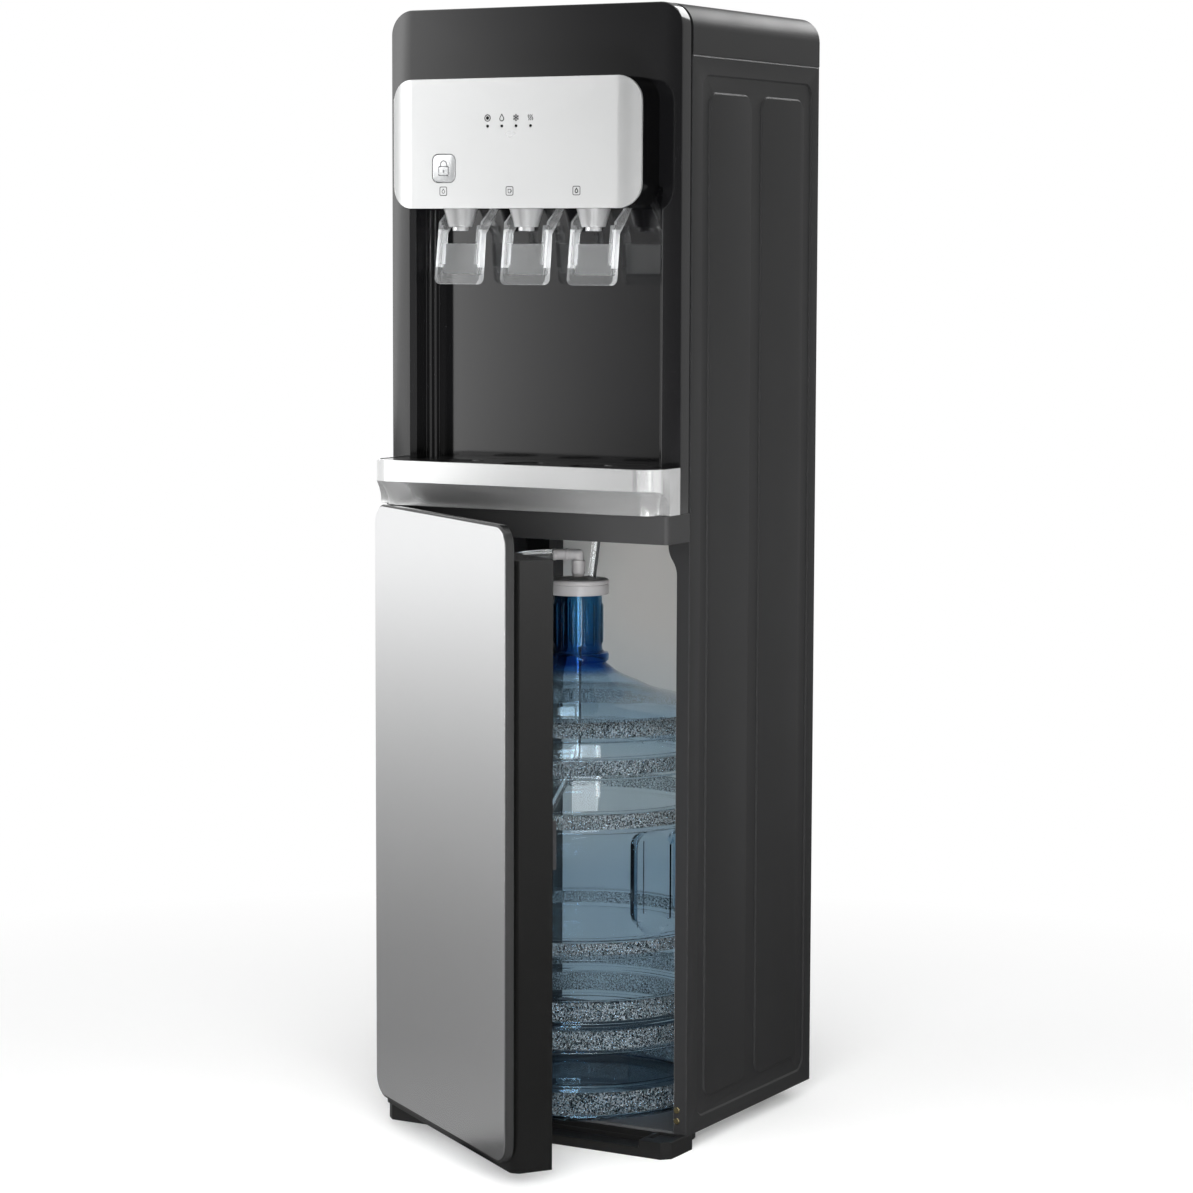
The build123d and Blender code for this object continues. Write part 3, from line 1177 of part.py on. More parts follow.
# ---------------------------------------------------------------- compressor and pump on the deck
shell_bottom = deck_top + mount_height
with BuildPart() as compressor:
    with BuildSketch(Plane.XY.offset(shell_bottom)):
        with Locations((compressor_x, compressor_y)):
            RectangleRounded(2 * mount_spread + 3 * mount_radius, 2 * mount_spread + 3 * mount_radius, mount_radius)
    extrude(amount=3)
    with BuildSketch(Plane.XY.offset(shell_bottom)):
        with Locations((compressor_x, compressor_y)):
            Circle(compressor_radius)
    extrude(amount=compressor_height)
    rims = compressor.edges().filter_by(GeomType.CIRCLE).filter_by(lambda e: e.radius > compressor_radius - 1)
    chamfer(rims.sort_by(Axis.Z)[-1], length=compressor_radius * 0.3, length2=compressor_radius * 0.5)
    # suction stub on the side, open into the shell
    with BuildSketch(front_view(compressor_y - compressor_radius - stub_length)) as stub:
        with Locations((compressor_x, shell_bottom + compressor_height * 0.6)):
            Circle(stub_radius)
    extrude(stub.sketch, amount=-(stub_length + compressor_wall / 2))
    with BuildSketch(Plane.XY.offset(shell_bottom + compressor_wall)) as cavity:
        with Locations((compressor_x, compressor_y)):
            Circle(compressor_radius - compressor_wall)
    extrude(cavity.sketch, amount=compressor_height * 0.7 - compressor_wall, mode=Mode.SUBTRACT)
    with BuildSketch(front_view(compressor_y - compressor_radius - stub_length)) as bore:
        with Locations((compressor_x, shell_bottom + compressor_height * 0.6)):
            Circle(stub_radius - 1)
    extrude(bore.sketch, amount=-(stub_length + 2 * compressor_wall), mode=Mode.SUBTRACT)
compressor.part.label = "compressor"
export_step(compressor.part, "parts/compressor.step")

with BuildPart() as compressor_mounts:
    with BuildSketch(Plane.XY.offset(deck_top)):
        with Locations((compressor_x, compressor_y)):
            with GridLocations(2 * mount_spread, 2 * mount_spread, 2, 2):
                Circle(mount_radius)
    extrude(amount=mount_height)
compressor_mounts.part.label = "compressor_mounts"
export_step(compressor_mounts.part, "parts/compressor_mounts.step")

with BuildPart() as water_pump:
    with BuildSketch(Plane.XY.offset(deck_top)):
        with Locations((pump_x, pump_y)):
            RectangleRounded(pump_width, pump_length, 6)
    extrude(amount=4)
    motor = pump_height / 2 - 2
    with BuildSketch(front_view(pump_y - pump_length / 2 + 4)):
        with Locations((pump_x, deck_top + 4 + motor)):
            Circle(motor)
    extrude(amount=-(pump_length - 8))
    with BuildSketch(Plane.XY.offset(deck_top + 4)):
        with Locations((pump_x, pump_y)):
            Rectangle(1.6 * motor, pump_length - 8)
    extrude(amount=motor)
water_pump.part.label = "water_pump"
export_step(water_pump.part, "parts/water_pump.step")

# ---------------------------------------------------------------- condenser on the back
coil_y = body_depth + coil_standoff
coil_zs = [coil_bottom + coil_pitch * i for i in range(coil_passes)]
bend = coil_pitch / 2
with BuildPart() as condenser:
    with BuildLine(front_view(coil_y)) as serpentine:
        for i, z in enumerate(coil_zs):
            side = 1 if i % 2 == 0 else -1
            Line((-side * coil_half_run, z), (side * coil_half_run, z))
            if i < coil_passes - 1:
                ThreePointArc((side * coil_half_run, z), (side * (coil_half_run + bend), z + bend),
                              (side * coil_half_run, z + coil_pitch))
    path = serpentine.wires()[0]
    with BuildSketch(Plane((-coil_half_run, coil_y, coil_bottom), (0, 1, 0), (1, 0, 0))):
        RegularPolygon(coil_tube / cos(radians(180 / coil_sides)), coil_sides, rotation=180 / coil_sides)
    sweep(path=path, transition=Transition.RIGHT)
    # upright wires on both faces of the coil
    wire_half = coil_half_run * 0.9
    wire_low = coil_bottom - bend / 2
    wire_length = coil_pitch * (coil_passes - 1) + bend
    for face in (-1, 1):
        wire_y = coil_y + face * (coil_tube + wire_gap + wire_size / 2)
        with BuildSketch(Plane.XY.offset(wire_low)):
            with Locations((0, wire_y)):
                with GridLocations(2 * wire_half / (wire_count - 1), 1, wire_count, 1):
                    Rectangle(wire_size, wire_size)
        extrude(amount=wire_length)
condenser.part.label = "condenser"
export_step(condenser.part, "parts/condenser.step")

clip_x = 7.5 * 2 * wire_half / (wire_count - 1)
with BuildPart() as condenser_clips:
    with BuildSketch(front_view(rear_face)):
        with Locations(*((x, z) for x in (-clip_x, clip_x) for z in (coil_zs[0], coil_zs[-1]))):
            Rectangle(clip_width, clip_height)
    extrude(amount=-(sheet + coil_standoff + coil_tube + 2))
    with BuildSketch(side_view(-coil_half_run)):
        with Locations((coil_y, coil_zs[0]), (coil_y, coil_zs[-1])):
            Circle(coil_tube + fit_gap)
    extrude(amount=2 * coil_half_run, mode=Mode.SUBTRACT)
condenser_clips.part.label = "condenser_clips"
export_step(condenser_clips.part, "parts/condenser_clips.step")

# ---------------------------------------------------------------- switches, gland and drain plug
rocker_y = body_depth - 2.0
rocker_xs = (switch_x - rocker_pitch / 2, switch_x + rocker_pitch / 2)
trunnion = 1.2
with BuildPart() as switch_housing:
    with BuildSketch(front_view(rear_face)):
        with Locations((switch_x, switch_z)):
            RectangleRounded(switch_width, switch_height, 3)
    extrude(amount=-switch_plate)
    with BuildSketch(front_view(rear_face)):
        with Locations((switch_x, switch_z)):
            Rectangle(switch_width - 4 - 2 * fit_gap, switch_height - 4 - 2 * fit_gap)
    extrude(amount=switch_depth)
    with BuildSketch(front_view(rear_face + switch_plate)):
        with Locations(*((x, switch_z) for x in rocker_xs)):
            Rectangle(rocker_width + 2 * rocker_gap, rocker_height + 2)
    extrude(amount=switch_depth, mode=Mode.SUBTRACT)
    with BuildSketch(side_view(rocker_xs[0] - rocker_width / 2 - rocker_gap - 1.5)):
        with Locations((rocker_y, switch_z)):
            Circle(trunnion + pin_clearance)
    extrude(amount=rocker_pitch + rocker_width + 2 * rocker_gap + 3, mode=Mode.SUBTRACT)
switch_housing.part.label = "switch_housing"
export_step(switch_housing.part, "parts/switch_housing.step")

for x, name in zip(rocker_xs, ("heating", "cooling")):
    tilt = radians(rocker_throw)
    swung = Plane((x, rocker_y, switch_z), (0, cos(tilt), -sin(tilt)), (1, 0, 0))
    with BuildPart() as rocker:
        with BuildSketch(swung.offset(-rocker_width / 2)):
            with BuildLine():
                tip, dip, sole = 6.4, 4.6, -3.4
                reach = rocker_height / 2 - 0.8
                Polyline((tip, -reach), (dip, 0), (tip, reach), (0, reach - 0.6), (sole, 0),
                         (0, -reach + 0.6), (tip, -reach))
            make_face()
        extrude(amount=rocker_width)
        with BuildSketch(swung.offset(-rocker_width / 2 - rocker_gap - 1.2)):
            Circle(trunnion)
        extrude(amount=rocker_width + 2 * rocker_gap + 2.4)
    rocker.part.label = f"rocker_{name}"
    export_step(rocker.part, f"parts/rocker_{name}.step")

with BuildPart() as cord_gland:
    with BuildSketch(front_view(rear_face)):
        with Locations((gland_x, gland_z)):
            Circle(gland_radius)
    extrude(amount=-gland_reach, taper=12)
    with BuildSketch(front_view(rear_face)):
        with Locations((gland_x, gland_z)):
            Circle(gland_radius - 2 - fit_gap)
    extrude(amount=4)
    with BuildSketch(front_view(rear_face - 4)):
        with Locations((gland_x, gland_z)):
            Circle(3.4)
    extrude(amount=-(gland_reach + 4), mode=Mode.SUBTRACT)
cord_gland.part.label = "cord_gland"
export_step(cord_gland.part, "parts/cord_gland.step")

with BuildPart() as drain_plug:
    with BuildSketch(front_view(rear_face)):
        with Locations((drain_x, drain_z)):
            RegularPolygon(drain_radius, 6)
    extrude(amount=-drain_reach)
    with BuildSketch(front_view(rear_face)):
        with Locations((drain_x, drain_z)):
            Circle(drain_radius - 3 - fit_gap)
    extrude(amount=6)
drain_plug.part.label = "drain_plug"
export_step(drain_plug.part, "parts/drain_plug.step")
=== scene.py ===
import bmesh
import bpy
import json
import math
from mathutils import Matrix, Vector


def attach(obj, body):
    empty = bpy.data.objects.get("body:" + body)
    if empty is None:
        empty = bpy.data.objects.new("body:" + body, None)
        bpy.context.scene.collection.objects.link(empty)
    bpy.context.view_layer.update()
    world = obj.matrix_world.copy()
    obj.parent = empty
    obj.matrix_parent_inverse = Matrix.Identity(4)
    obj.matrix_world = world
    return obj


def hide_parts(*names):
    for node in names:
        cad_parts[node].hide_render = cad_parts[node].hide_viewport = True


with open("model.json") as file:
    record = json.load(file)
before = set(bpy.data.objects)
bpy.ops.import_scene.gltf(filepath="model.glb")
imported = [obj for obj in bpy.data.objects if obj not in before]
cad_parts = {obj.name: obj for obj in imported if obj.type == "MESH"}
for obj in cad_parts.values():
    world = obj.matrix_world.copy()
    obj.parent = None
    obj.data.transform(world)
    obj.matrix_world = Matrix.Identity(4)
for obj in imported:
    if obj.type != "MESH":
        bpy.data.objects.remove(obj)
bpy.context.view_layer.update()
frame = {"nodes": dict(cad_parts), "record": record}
mm = 0.001
east = Vector((1, 0, 0))
north = Vector((0, 1, 0))
nodes = frame["nodes"]
record = frame["record"]
bodyOf = {name: body for body, names in record["behaviour"]["bodies"].items() for name in names}
print("frame loaded:", len(nodes), "nodes")


def newObject(name, data):
    made = bpy.data.objects.new(name, data)
    bpy.context.collection.objects.link(made)
    return made


# the camera stands to the right of the cooler and looks a little down
view = {
    "place": (1.625755, -2.765876, 0.840424),
    "yaw": 29.559,
    "pitch": 5.853,
    "roll": 0.19,
    "lens": 103.87,
    "sensor": 36,
    "reach": 60,
}
yaw, pitch, roll = (math.radians(view[key]) for key in ("yaw", "pitch", "roll"))
forward = Vector((-math.sin(yaw) * math.cos(pitch), math.cos(yaw) * math.cos(pitch), -math.sin(pitch)))
level = Vector((math.cos(yaw), math.sin(yaw), 0))
upward = level.cross(forward)
rightHand = level * math.cos(roll) + upward * math.sin(roll)
headUp = upward * math.cos(roll) - level * math.sin(roll)
cameraData = bpy.data.cameras.new("camera")
cameraData.lens = view["lens"]
cameraData.sensor_width = view["sensor"]
cameraData.clip_end = view["reach"]
camera = newObject("camera", cameraData)
cameraTurn = Matrix((rightHand, headUp, -forward)).transposed().to_4x4()
camera.matrix_world = Matrix.Translation(view["place"]) @ cameraTurn
bpy.context.scene.camera = camera
bpy.context.scene.view_settings.view_transform = "Standard"


def newGroup(name, inputs, outputs):
    group = bpy.data.node_groups.new(name, "ShaderNodeTree")
    for label, value in inputs.items():
        kind = "NodeSocketColor" if isinstance(value, tuple) else "NodeSocketFloat"
        group.interface.new_socket(name=label, in_out="INPUT", socket_type=kind).default_value = value
    for label, kind in outputs.items():
        group.interface.new_socket(name=label, in_out="OUTPUT", socket_type=kind)
    return group, group.nodes.new("NodeGroupInput"), group.nodes.new("NodeGroupOutput")


def newMaterial(name):
    material = bpy.data.materials.new(name)
    material.use_nodes = True
    tree = material.node_tree
    return material, tree, tree.nodes["Principled BSDF"]


def setInputs(node, values):
    for label, value in values.items():
        node.inputs[label].default_value = value


# a socket takes a number or a colour, or is linked to another node's socket
def feed(tree, socket, value):
    if isinstance(value, (int, float, tuple)):
        socket.default_value = value
    else:
        tree.links.new(value, socket)


def mathNode(tree, operation, *values, clamp=False):
    node = tree.nodes.new("ShaderNodeMath")
    node.operation = operation
    node.use_clamp = clamp
    for socket, value in zip(node.inputs, values):
        feed(tree, socket, value)
    return node.outputs[0]


def product(tree, first, *others):
    for other in others:
        first = mathNode(tree, "MULTIPLY", first, other)
    return first


# sockets 6 and 7 of a Mix node are its two colours, and output 2 is the mixed one
def mixColor(tree, factor, first, second):
    node = tree.nodes.new("ShaderNodeMix")
    node.data_type = "RGBA"
    for index, value in ((0, factor), (6, first), (7, second)):
        feed(tree, node.inputs[index], value)
    return node.outputs[2]


def mixShader(tree, share, first, second):
    node = tree.nodes.new("ShaderNodeMixShader")
    for socket, value in zip(node.inputs, (share, first, second)):
        tree.links.new(value, socket)
    return node.outputs[0]


def plainShader(tree, kind, color):
    node = tree.nodes.new("ShaderNodeBsdf" + kind)
    node.inputs["Color"].default_value = color
    return node.outputs[0]


def glowShader(tree, strength):
    node = tree.nodes.new("ShaderNodeEmission")
    feed(tree, node.inputs["Strength"], strength)
    return node.outputs[0]


def rampNode(tree, value, stops, interpolation="LINEAR"):
    node = tree.nodes.new("ShaderNodeValToRGB")
    node.color_ramp.interpolation = interpolation
    tree.links.new(value, node.inputs[0])
    elements = node.color_ramp.elements
    while len(elements) > 1:
        elements.remove(elements[0])
    for index, (place, shade) in enumerate(stops):
        element = elements[0] if index == 0 else elements.new(place)
        element.position = place
        element.color = (*shade, 1) if isinstance(shade, tuple) else (shade, shade, shade, 1)
    return node.outputs[0]


def objectPlace(tree):
    coords = tree.nodes.new("ShaderNodeTexCoord")
    split = tree.nodes.new("ShaderNodeSeparateXYZ")
    tree.links.new(coords.outputs["Object"], split.inputs[0])
    return coords, split


def addRelief(tree, height, distance):
    relief = tree.nodes.new("ShaderNodeBump")
    relief.inputs["Distance"].default_value = distance
    tree.links.new(height, relief.inputs["Height"])
    tree.links.new(relief.outputs["Normal"], tree.nodes["Principled BSDF"].inputs["Normal"])


# fine moulded or coated grain: a height for the bump and a roughness that wanders with it
grainGroup, groupIn, groupOut = newGroup(
    "surfaceGrain",
    {"Scale": 900.0, "Roughness": 0.4, "Spread": 0.1, "Cloud Scale": 14.0},
    {"Height": "NodeSocketFloat", "Roughness": "NodeSocketFloat"},
)
coords = grainGroup.nodes.new("ShaderNodeTexCoord")
fine = grainGroup.nodes.new("ShaderNodeTexNoise")
cloud = grainGroup.nodes.new("ShaderNodeTexNoise")
fine.inputs["Detail"].default_value = 3
for noise, label in ((fine, "Scale"), (cloud, "Cloud Scale")):
    grainGroup.links.new(coords.outputs["Object"], noise.inputs["Vector"])
    grainGroup.links.new(groupIn.outputs[label], noise.inputs["Scale"])
centred = mathNode(grainGroup, "SUBTRACT", cloud.outputs[0], 0.5)
spread = product(grainGroup, centred, groupIn.outputs["Spread"])
rough = mathNode(grainGroup, "ADD", spread, groupIn.outputs["Roughness"], clamp=True)
grainGroup.links.new(fine.outputs[0], groupOut.inputs["Height"])
grainGroup.links.new(rough, groupOut.inputs["Roughness"])

# slow drift of the colour over a large surface
driftGroup, groupIn, groupOut = newGroup(
    "colourDrift",
    {"Color": (0.5, 0.5, 0.5, 1), "Other": (0.4, 0.4, 0.4, 1), "Scale": 3.0},
    {"Color": "NodeSocketColor"},
)
coords = driftGroup.nodes.new("ShaderNodeTexCoord")
cloud = driftGroup.nodes.new("ShaderNodeTexNoise")
cloud.inputs["Detail"].default_value = 4
driftGroup.links.new(coords.outputs["Object"], cloud.inputs["Vector"])
driftGroup.links.new(groupIn.outputs["Scale"], cloud.inputs["Scale"])
drifted = mixColor(driftGroup, cloud.outputs[0], groupIn.outputs["Color"], groupIn.outputs["Other"])
driftGroup.links.new(drifted, groupOut.inputs["Color"])


def makeFinish(name, color, other=None, roughness=0.4, spread=0.08, scale=900.0, bump=0.0, metallic=0.0,
               drift=3.0, coat=0.0, specular=0.5, fade=0.9, coatRoughness=0.08):
    material, tree, shader = newMaterial(name)
    grain = tree.nodes.new("ShaderNodeGroup")
    grain.node_tree = grainGroup
    setInputs(grain, {"Scale": scale, "Roughness": roughness, "Spread": spread})
    tree.links.new(grain.outputs["Roughness"], shader.inputs["Roughness"])
    shade = tree.nodes.new("ShaderNodeGroup")
    shade.node_tree = driftGroup
    drifting = other or [part * fade for part in color]
    setInputs(shade, {"Color": (*color, 1), "Other": (*drifting, 1), "Scale": drift})
    tree.links.new(shade.outputs["Color"], shader.inputs["Base Color"])
    if bump:
        addRelief(tree, grain.outputs["Height"], bump)
    setInputs(shader, {"Metallic": metallic, "Coat Weight": coat, "Coat Roughness": coatRoughness,
                       "Specular IOR Level": specular})
    return material


# faces seen at a slant are mixed towards a pale diffuse, a painted highlight that stands for the bright edges
# of light piped through the acrylic
edgeHighlight = {"color": (0.9, 0.91, 0.92, 1), "blend": 0.5, "slant": 0.22}


def makeClear(name, color, roughness=0.04, ior=1.45, through=1.0, rim=0.0):
    material, tree, shader = newMaterial(name)
    setInputs(shader, {"Base Color": (*color, 1), "Transmission Weight": through, "IOR": ior,
                       "Roughness": roughness})
    surface = shader.outputs[0]
    if rim:
        # painted highlight: a pale diffuse mixed in by how slanted the face is
        pale = plainShader(tree, "Diffuse", edgeHighlight["color"])
        slant = tree.nodes.new("ShaderNodeLayerWeight")
        slant.inputs["Blend"].default_value = edgeHighlight["blend"]
        beyond = mathNode(tree, "SUBTRACT", slant.outputs["Facing"], edgeHighlight["slant"], clamp=True)
        surface = mixShader(tree, product(tree, beyond, rim), surface, pale)
        surface.node.name = "paintedEdgeGlint"
    # light that falls through the plastic isn't bent, and keeps half of its tint
    path = tree.nodes.new("ShaderNodeLightPath")
    passing = plainShader(tree, "Transparent", (*(0.5 + 0.5 * part for part in color), 1))
    unbent = mathNode(tree, "MAXIMUM", path.outputs["Is Shadow Ray"], path.outputs["Is Diffuse Ray"])
    mixed = mixShader(tree, unbent, surface, passing)
    tree.links.new(mixed, tree.nodes["Material Output"].inputs["Surface"])
    return material


panelCoat = makeFinish("panelCoat", (0.0155, 0.0155, 0.016), roughness=0.44, spread=0.06, scale=1500,
                       bump=0.00006, specular=0.4)
coverPlastic = makeFinish("coverPlastic", (0.01, 0.01, 0.0104), roughness=0.42, scale=2200, bump=0.00003)
bezelGloss = makeFinish("bezelGloss", (0.004, 0.004, 0.0045), roughness=0.1, spread=0.03, coat=0.4)
nicheGloss = makeFinish("nicheGloss", (0.003, 0.003, 0.0035), roughness=0.09, spread=0.03, coat=0.8,
                        specular=0.7)
# the folds' colour is a painted highlight, paler than the panel coat of the same sheet
foldHighlight = makeFinish("foldHighlight", (0.16, 0.16, 0.162), roughness=0.3)
barPlastic = makeFinish("barPlastic", (0.03, 0.03, 0.0305), scale=2000, bump=0.00002, specular=0.3)
silverPaint = makeFinish("silverPaint", (0.58, 0.585, 0.585), roughness=0.28, spread=0.03, metallic=0.62)
trimSilver = makeFinish("trimSilver", (0.78, 0.785, 0.785), roughness=0.22, spread=0.03, metallic=0.82)
doorSilver = makeFinish("doorSilver", (0.88, 0.885, 0.89), (0.86, 0.865, 0.87), roughness=0.2, spread=0.03,
                        metallic=0.96)
doorEdge = makeFinish("doorEdge", (0.014, 0.014, 0.014), roughness=0.25)
skirtPlastic = makeFinish("skirtPlastic", (0.003, 0.003, 0.0029), roughness=0.18, scale=1800, bump=0.00002,
                          specular=0.75)
housingPlastic = makeFinish("housingPlastic", (0.002, 0.002, 0.0022), roughness=0.14, specular=0.25)
lensDark = makeFinish("lensDark", (0.006, 0.006, 0.006), roughness=0.12)
buttonSilver = makeFinish("buttonSilver", (0.52, 0.53, 0.535), roughness=0.25, metallic=0.5)
collarChrome = makeFinish("collarChrome", (0.78, 0.785, 0.79), roughness=0.29, spread=0.03, metallic=0.78)
grilleDark = makeFinish("grilleDark", (0.012, 0.012, 0.012), roughness=0.22, scale=1600, bump=0.00004)
plinthPlastic = makeFinish("plinthPlastic", (0.006, 0.006, 0.006), roughness=0.42, scale=1600, bump=0.00005)
bayPlastic = makeFinish("bayPlastic", (0.56, 0.55, 0.53), roughness=0.5, scale=1200, bump=0.00003)
floorPlastic = makeFinish("floorPlastic", (0.045, 0.046, 0.048), scale=1200, bump=0.00003)
capPlastic = makeFinish("capPlastic", (0.36, 0.352, 0.355), roughness=0.35, scale=1200, bump=0.00002)
rubberBlack = makeFinish("rubberBlack", (0.015, 0.015, 0.015), roughness=0.7, bump=0.0001)
galvanisedSteel = makeFinish("galvanisedSteel", (0.42, 0.43, 0.44), (0.3, 0.31, 0.32), roughness=0.42,
                             metallic=0.8, drift=40)
steelBright = makeFinish("steelBright", (0.6, 0.6, 0.61), roughness=0.25, metallic=1.0)
zincYellow = makeFinish("zincYellow", (0.72, 0.62, 0.36), roughness=0.24, metallic=1.0)
enamelBlack = makeFinish("enamelBlack", (0.015, 0.015, 0.016), roughness=0.3)
boardGreen = makeFinish("boardGreen", (0.02, 0.16, 0.06))
rockerRed = makeFinish("rockerRed", (0.5, 0.03, 0.02), roughness=0.25)
rockerGreen = makeFinish("rockerGreen", (0.03, 0.3, 0.08), roughness=0.25)
printDark = makeFinish("printDark", (0.015, 0.015, 0.017))
printPale = makeFinish("printPale", (0.12, 0.122, 0.125))
leverClear = makeClear("leverClear", (0.97, 0.985, 0.99), roughness=0.03, ior=1.49, through=0.97, rim=0.38)
bottleClear = makeClear("bottleClear", (0.9, 0.94, 0.97), roughness=0.03, ior=1.36)
tubeClear = makeClear("tubeClear", (0.95, 0.97, 0.98), roughness=0.03, through=0.97)

# the inner face of the right side panel is pale down in the bay
bayLining = {"color": (0.56, 0.55, 0.53, 1), "top": 571.0 * mm, "turnedIn": -0.05}
tree = panelCoat.node_tree
coords, place = objectPlace(tree)
facing = tree.nodes.new("ShaderNodeSeparateXYZ")
tree.links.new(coords.outputs["Normal"], facing.inputs[0])
onRight = mathNode(tree, "MAXIMUM", place.outputs["X"], 0.0)
turnedOut = product(tree, facing.outputs["X"], onRight)
inwards = mathNode(tree, "LESS_THAN", turnedOut, bayLining["turnedIn"])
lowDown = mathNode(tree, "LESS_THAN", place.outputs["Z"], bayLining["top"])
lined = product(tree, inwards, lowDown)
panelColor = tree.nodes["Principled BSDF"].inputs["Base Color"]
coat = panelColor.links[0].from_socket
tree.links.new(mixColor(tree, lined, coat, bayLining["color"]), panelColor)

# the paddles between the levers' arms are frosted, and the arms' faces get a painted highlight from a pale
# diffuse mix
frosting = {
    "pitch": 71.0 * mm,
    "half": 19.6 * mm,
    "paddles": (812.5 * mm, 840.5 * mm),
    "arms": (818.0 * mm, 853.0 * mm),
    "frosted": 0.42,
    "clear": 0.05,
    "armHighlight": 0.34,
}


def heightBand(tree, height, span):
    above = mathNode(tree, "GREATER_THAN", height, span[0])
    below = mathNode(tree, "LESS_THAN", height, span[1])
    return product(tree, above, below)


tree = leverClear.node_tree
_, place = objectPlace(tree)
across = mathNode(tree, "PINGPONG", place.outputs["X"], frosting["pitch"] / 2)
between = mathNode(tree, "LESS_THAN", across, frosting["half"])
paddles = product(tree, between, heightBand(tree, place.outputs["Z"], frosting["paddles"]))
rougher = product(tree, paddles, frosting["frosted"] - frosting["clear"])
rough = mathNode(tree, "ADD", rougher, frosting["clear"])
tree.links.new(rough, tree.nodes["Principled BSDF"].inputs["Roughness"])
# painted highlight on the arms over their height band, joined to the slant highlight
outside = mathNode(tree, "GREATER_THAN", across, frosting["half"])
arms = product(tree, outside, heightBand(tree, place.outputs["Z"], frosting["arms"]))
paintedArmHighlight = product(tree, arms, frosting["armHighlight"])
highlightShare = tree.nodes["paintedEdgeGlint"].inputs[0]
paintedEdgeGlint = highlightShare.links[0].from_socket
tree.links.new(mathNode(tree, "MAXIMUM", paintedEdgeGlint, paintedArmHighlight), highlightShare)

# pebbled bands on the bottle's rings, and a tint by height: a deeper blue at the neck and the foot, painted
# paler in a band above the middle as a painted reflection, and lightened low down as painted light for the
# dim lower bay
pebbling = {
    "scale": 500,
    "height": 0.014,
    "bands": ((24, 46), (87, 104), (114, 131), (176, 189), (296, 309), (347, 360), (381, 396)),
    "smooth": 0.02,
    "rougher": 0.04,
    "crownGlint": (0.7, 0.79, 0.85, 1),
    "crownGlintReach": 0.34,
    "crownGlintShare": 0.22,
    "tintTop": 510.0 * mm,
    "tintAndPaintedLight": ((0.0, (0.6, 0.82, 1.0)), (0.06, (0.7, 0.87, 1.0)), (0.14, (0.76, 0.89, 0.98)),
             (0.5, (0.72, 0.86, 0.965)), (0.62, (0.92, 0.98, 1.0)), (0.7, (0.78, 0.9, 0.98)),
             (0.76, (0.68, 0.82, 0.92)), (0.84, (0.62, 0.77, 0.89)), (0.85, (0.06, 0.2, 0.56)),
             (0.9, (0.11, 0.3, 0.5)), (1.0, (0.16, 0.38, 0.56))),
}
tree = bottleClear.node_tree
shader = tree.nodes["Principled BSDF"]
coords, place = objectPlace(tree)
pebbles = tree.nodes.new("ShaderNodeTexVoronoi")
pebbles.inputs["Scale"].default_value = pebbling["scale"]
tree.links.new(coords.outputs["Object"], pebbles.inputs["Vector"])
stops = [(0.0, 0.0)]
for low, high in pebbling["bands"]:
    stops += [(low * mm * 2, 1.0), (high * mm * 2, 0.0)]
banded = rampNode(tree, product(tree, place.outputs["Z"], 2.0), stops, "CONSTANT")
addRelief(tree, product(tree, pebbles.outputs["Distance"], banded), pebbling["height"])
heightShare = mathNode(tree, "DIVIDE", place.outputs["Z"], pebbling["tintTop"])
# base colour by height: the plastic's blue with a painted reflection and painted light in it
tree.links.new(rampNode(tree, heightShare, pebbling["tintAndPaintedLight"]), shader.inputs["Base Color"])
rougher = product(tree, banded, pebbling["rougher"])
tree.links.new(mathNode(tree, "ADD", rougher, pebbling["smooth"]), shader.inputs["Roughness"])
# each pebble's crown gets a pale speck, a painted glint
crownGlint = plainShader(tree, "Diffuse", pebbling["crownGlint"])
crowned = mathNode(tree, "LESS_THAN", pebbles.outputs["Distance"], pebbling["crownGlintReach"])
glintMask = product(tree, crowned, banded, pebbling["crownGlintShare"])
clearFace = shader.outputs[0]
onward = clearFace.links[0].to_socket
tree.links.new(mixShader(tree, glintMask, clearFace, crownGlint), onward)

nodeFinishes = {
    panelCoat: ("side_panel_left", "side_panel_right"),
    coverPlastic: ("top_cover",),
    bezelGloss: ("front_bezel",),
    nicheGloss: ("niche_liner",),
    barPlastic: ("header_bar", "lever_rail"),
    silverPaint: ("control_fascia",),
    trimSilver: ("tray_trim",),
    doorSilver: ("door_skin",),
    doorEdge: ("door_frame",),
    skirtPlastic: ("door_liner",),
    housingPlastic: ("control_housing",),
    lensDark: ("indicator_lenses",),
    buttonSilver: ("lock_button",),
    collarChrome: ("tap_collar_left", "tap_collar_middle", "tap_collar_right"),
    grilleDark: ("drip_grille", "drip_basin"),
    plinthPlastic: ("base_plinth", "switch_housing", "corner_duct"),
    bayPlastic: ("compartment_back",),
    floorPlastic: ("base_pan",),
    capPlastic: ("probe_cap", "elbow_fitting", "drain_plug", "tap_valve_left", "tap_valve_middle",
                 "tap_valve_right"),
    tubeClear: ("suction_hose", "vent_hose", "dip_tube"),
    rubberBlack: ("feet", "compressor_mounts", "hose_grommets", "cord_gland", "condenser_clips"),
    galvanisedSteel: ("rear_panel", "mid_deck", "tank_shelf"),
    steelBright: ("lever_pins", "door_pins", "cold_tank", "hot_tank"),
    zincYellow: ("flange_screws",),
    enamelBlack: ("condenser", "compressor", "water_pump", "door_magnet"),
    boardGreen: ("control_board",),
    rockerRed: ("rocker_heating",),
    rockerGreen: ("rocker_cooling",),
    leverClear: ("lever_left", "lever_middle", "lever_right"),
    bottleClear: ("bottle",),
}
finishOf = {}
for finish, names in nodeFinishes.items():
    for name in names:
        finishOf[name] = finish
        nodes[name].data.materials.clear()
        nodes[name].data.materials.append(finish)
print("finishes set on", len(finishOf), "nodes")


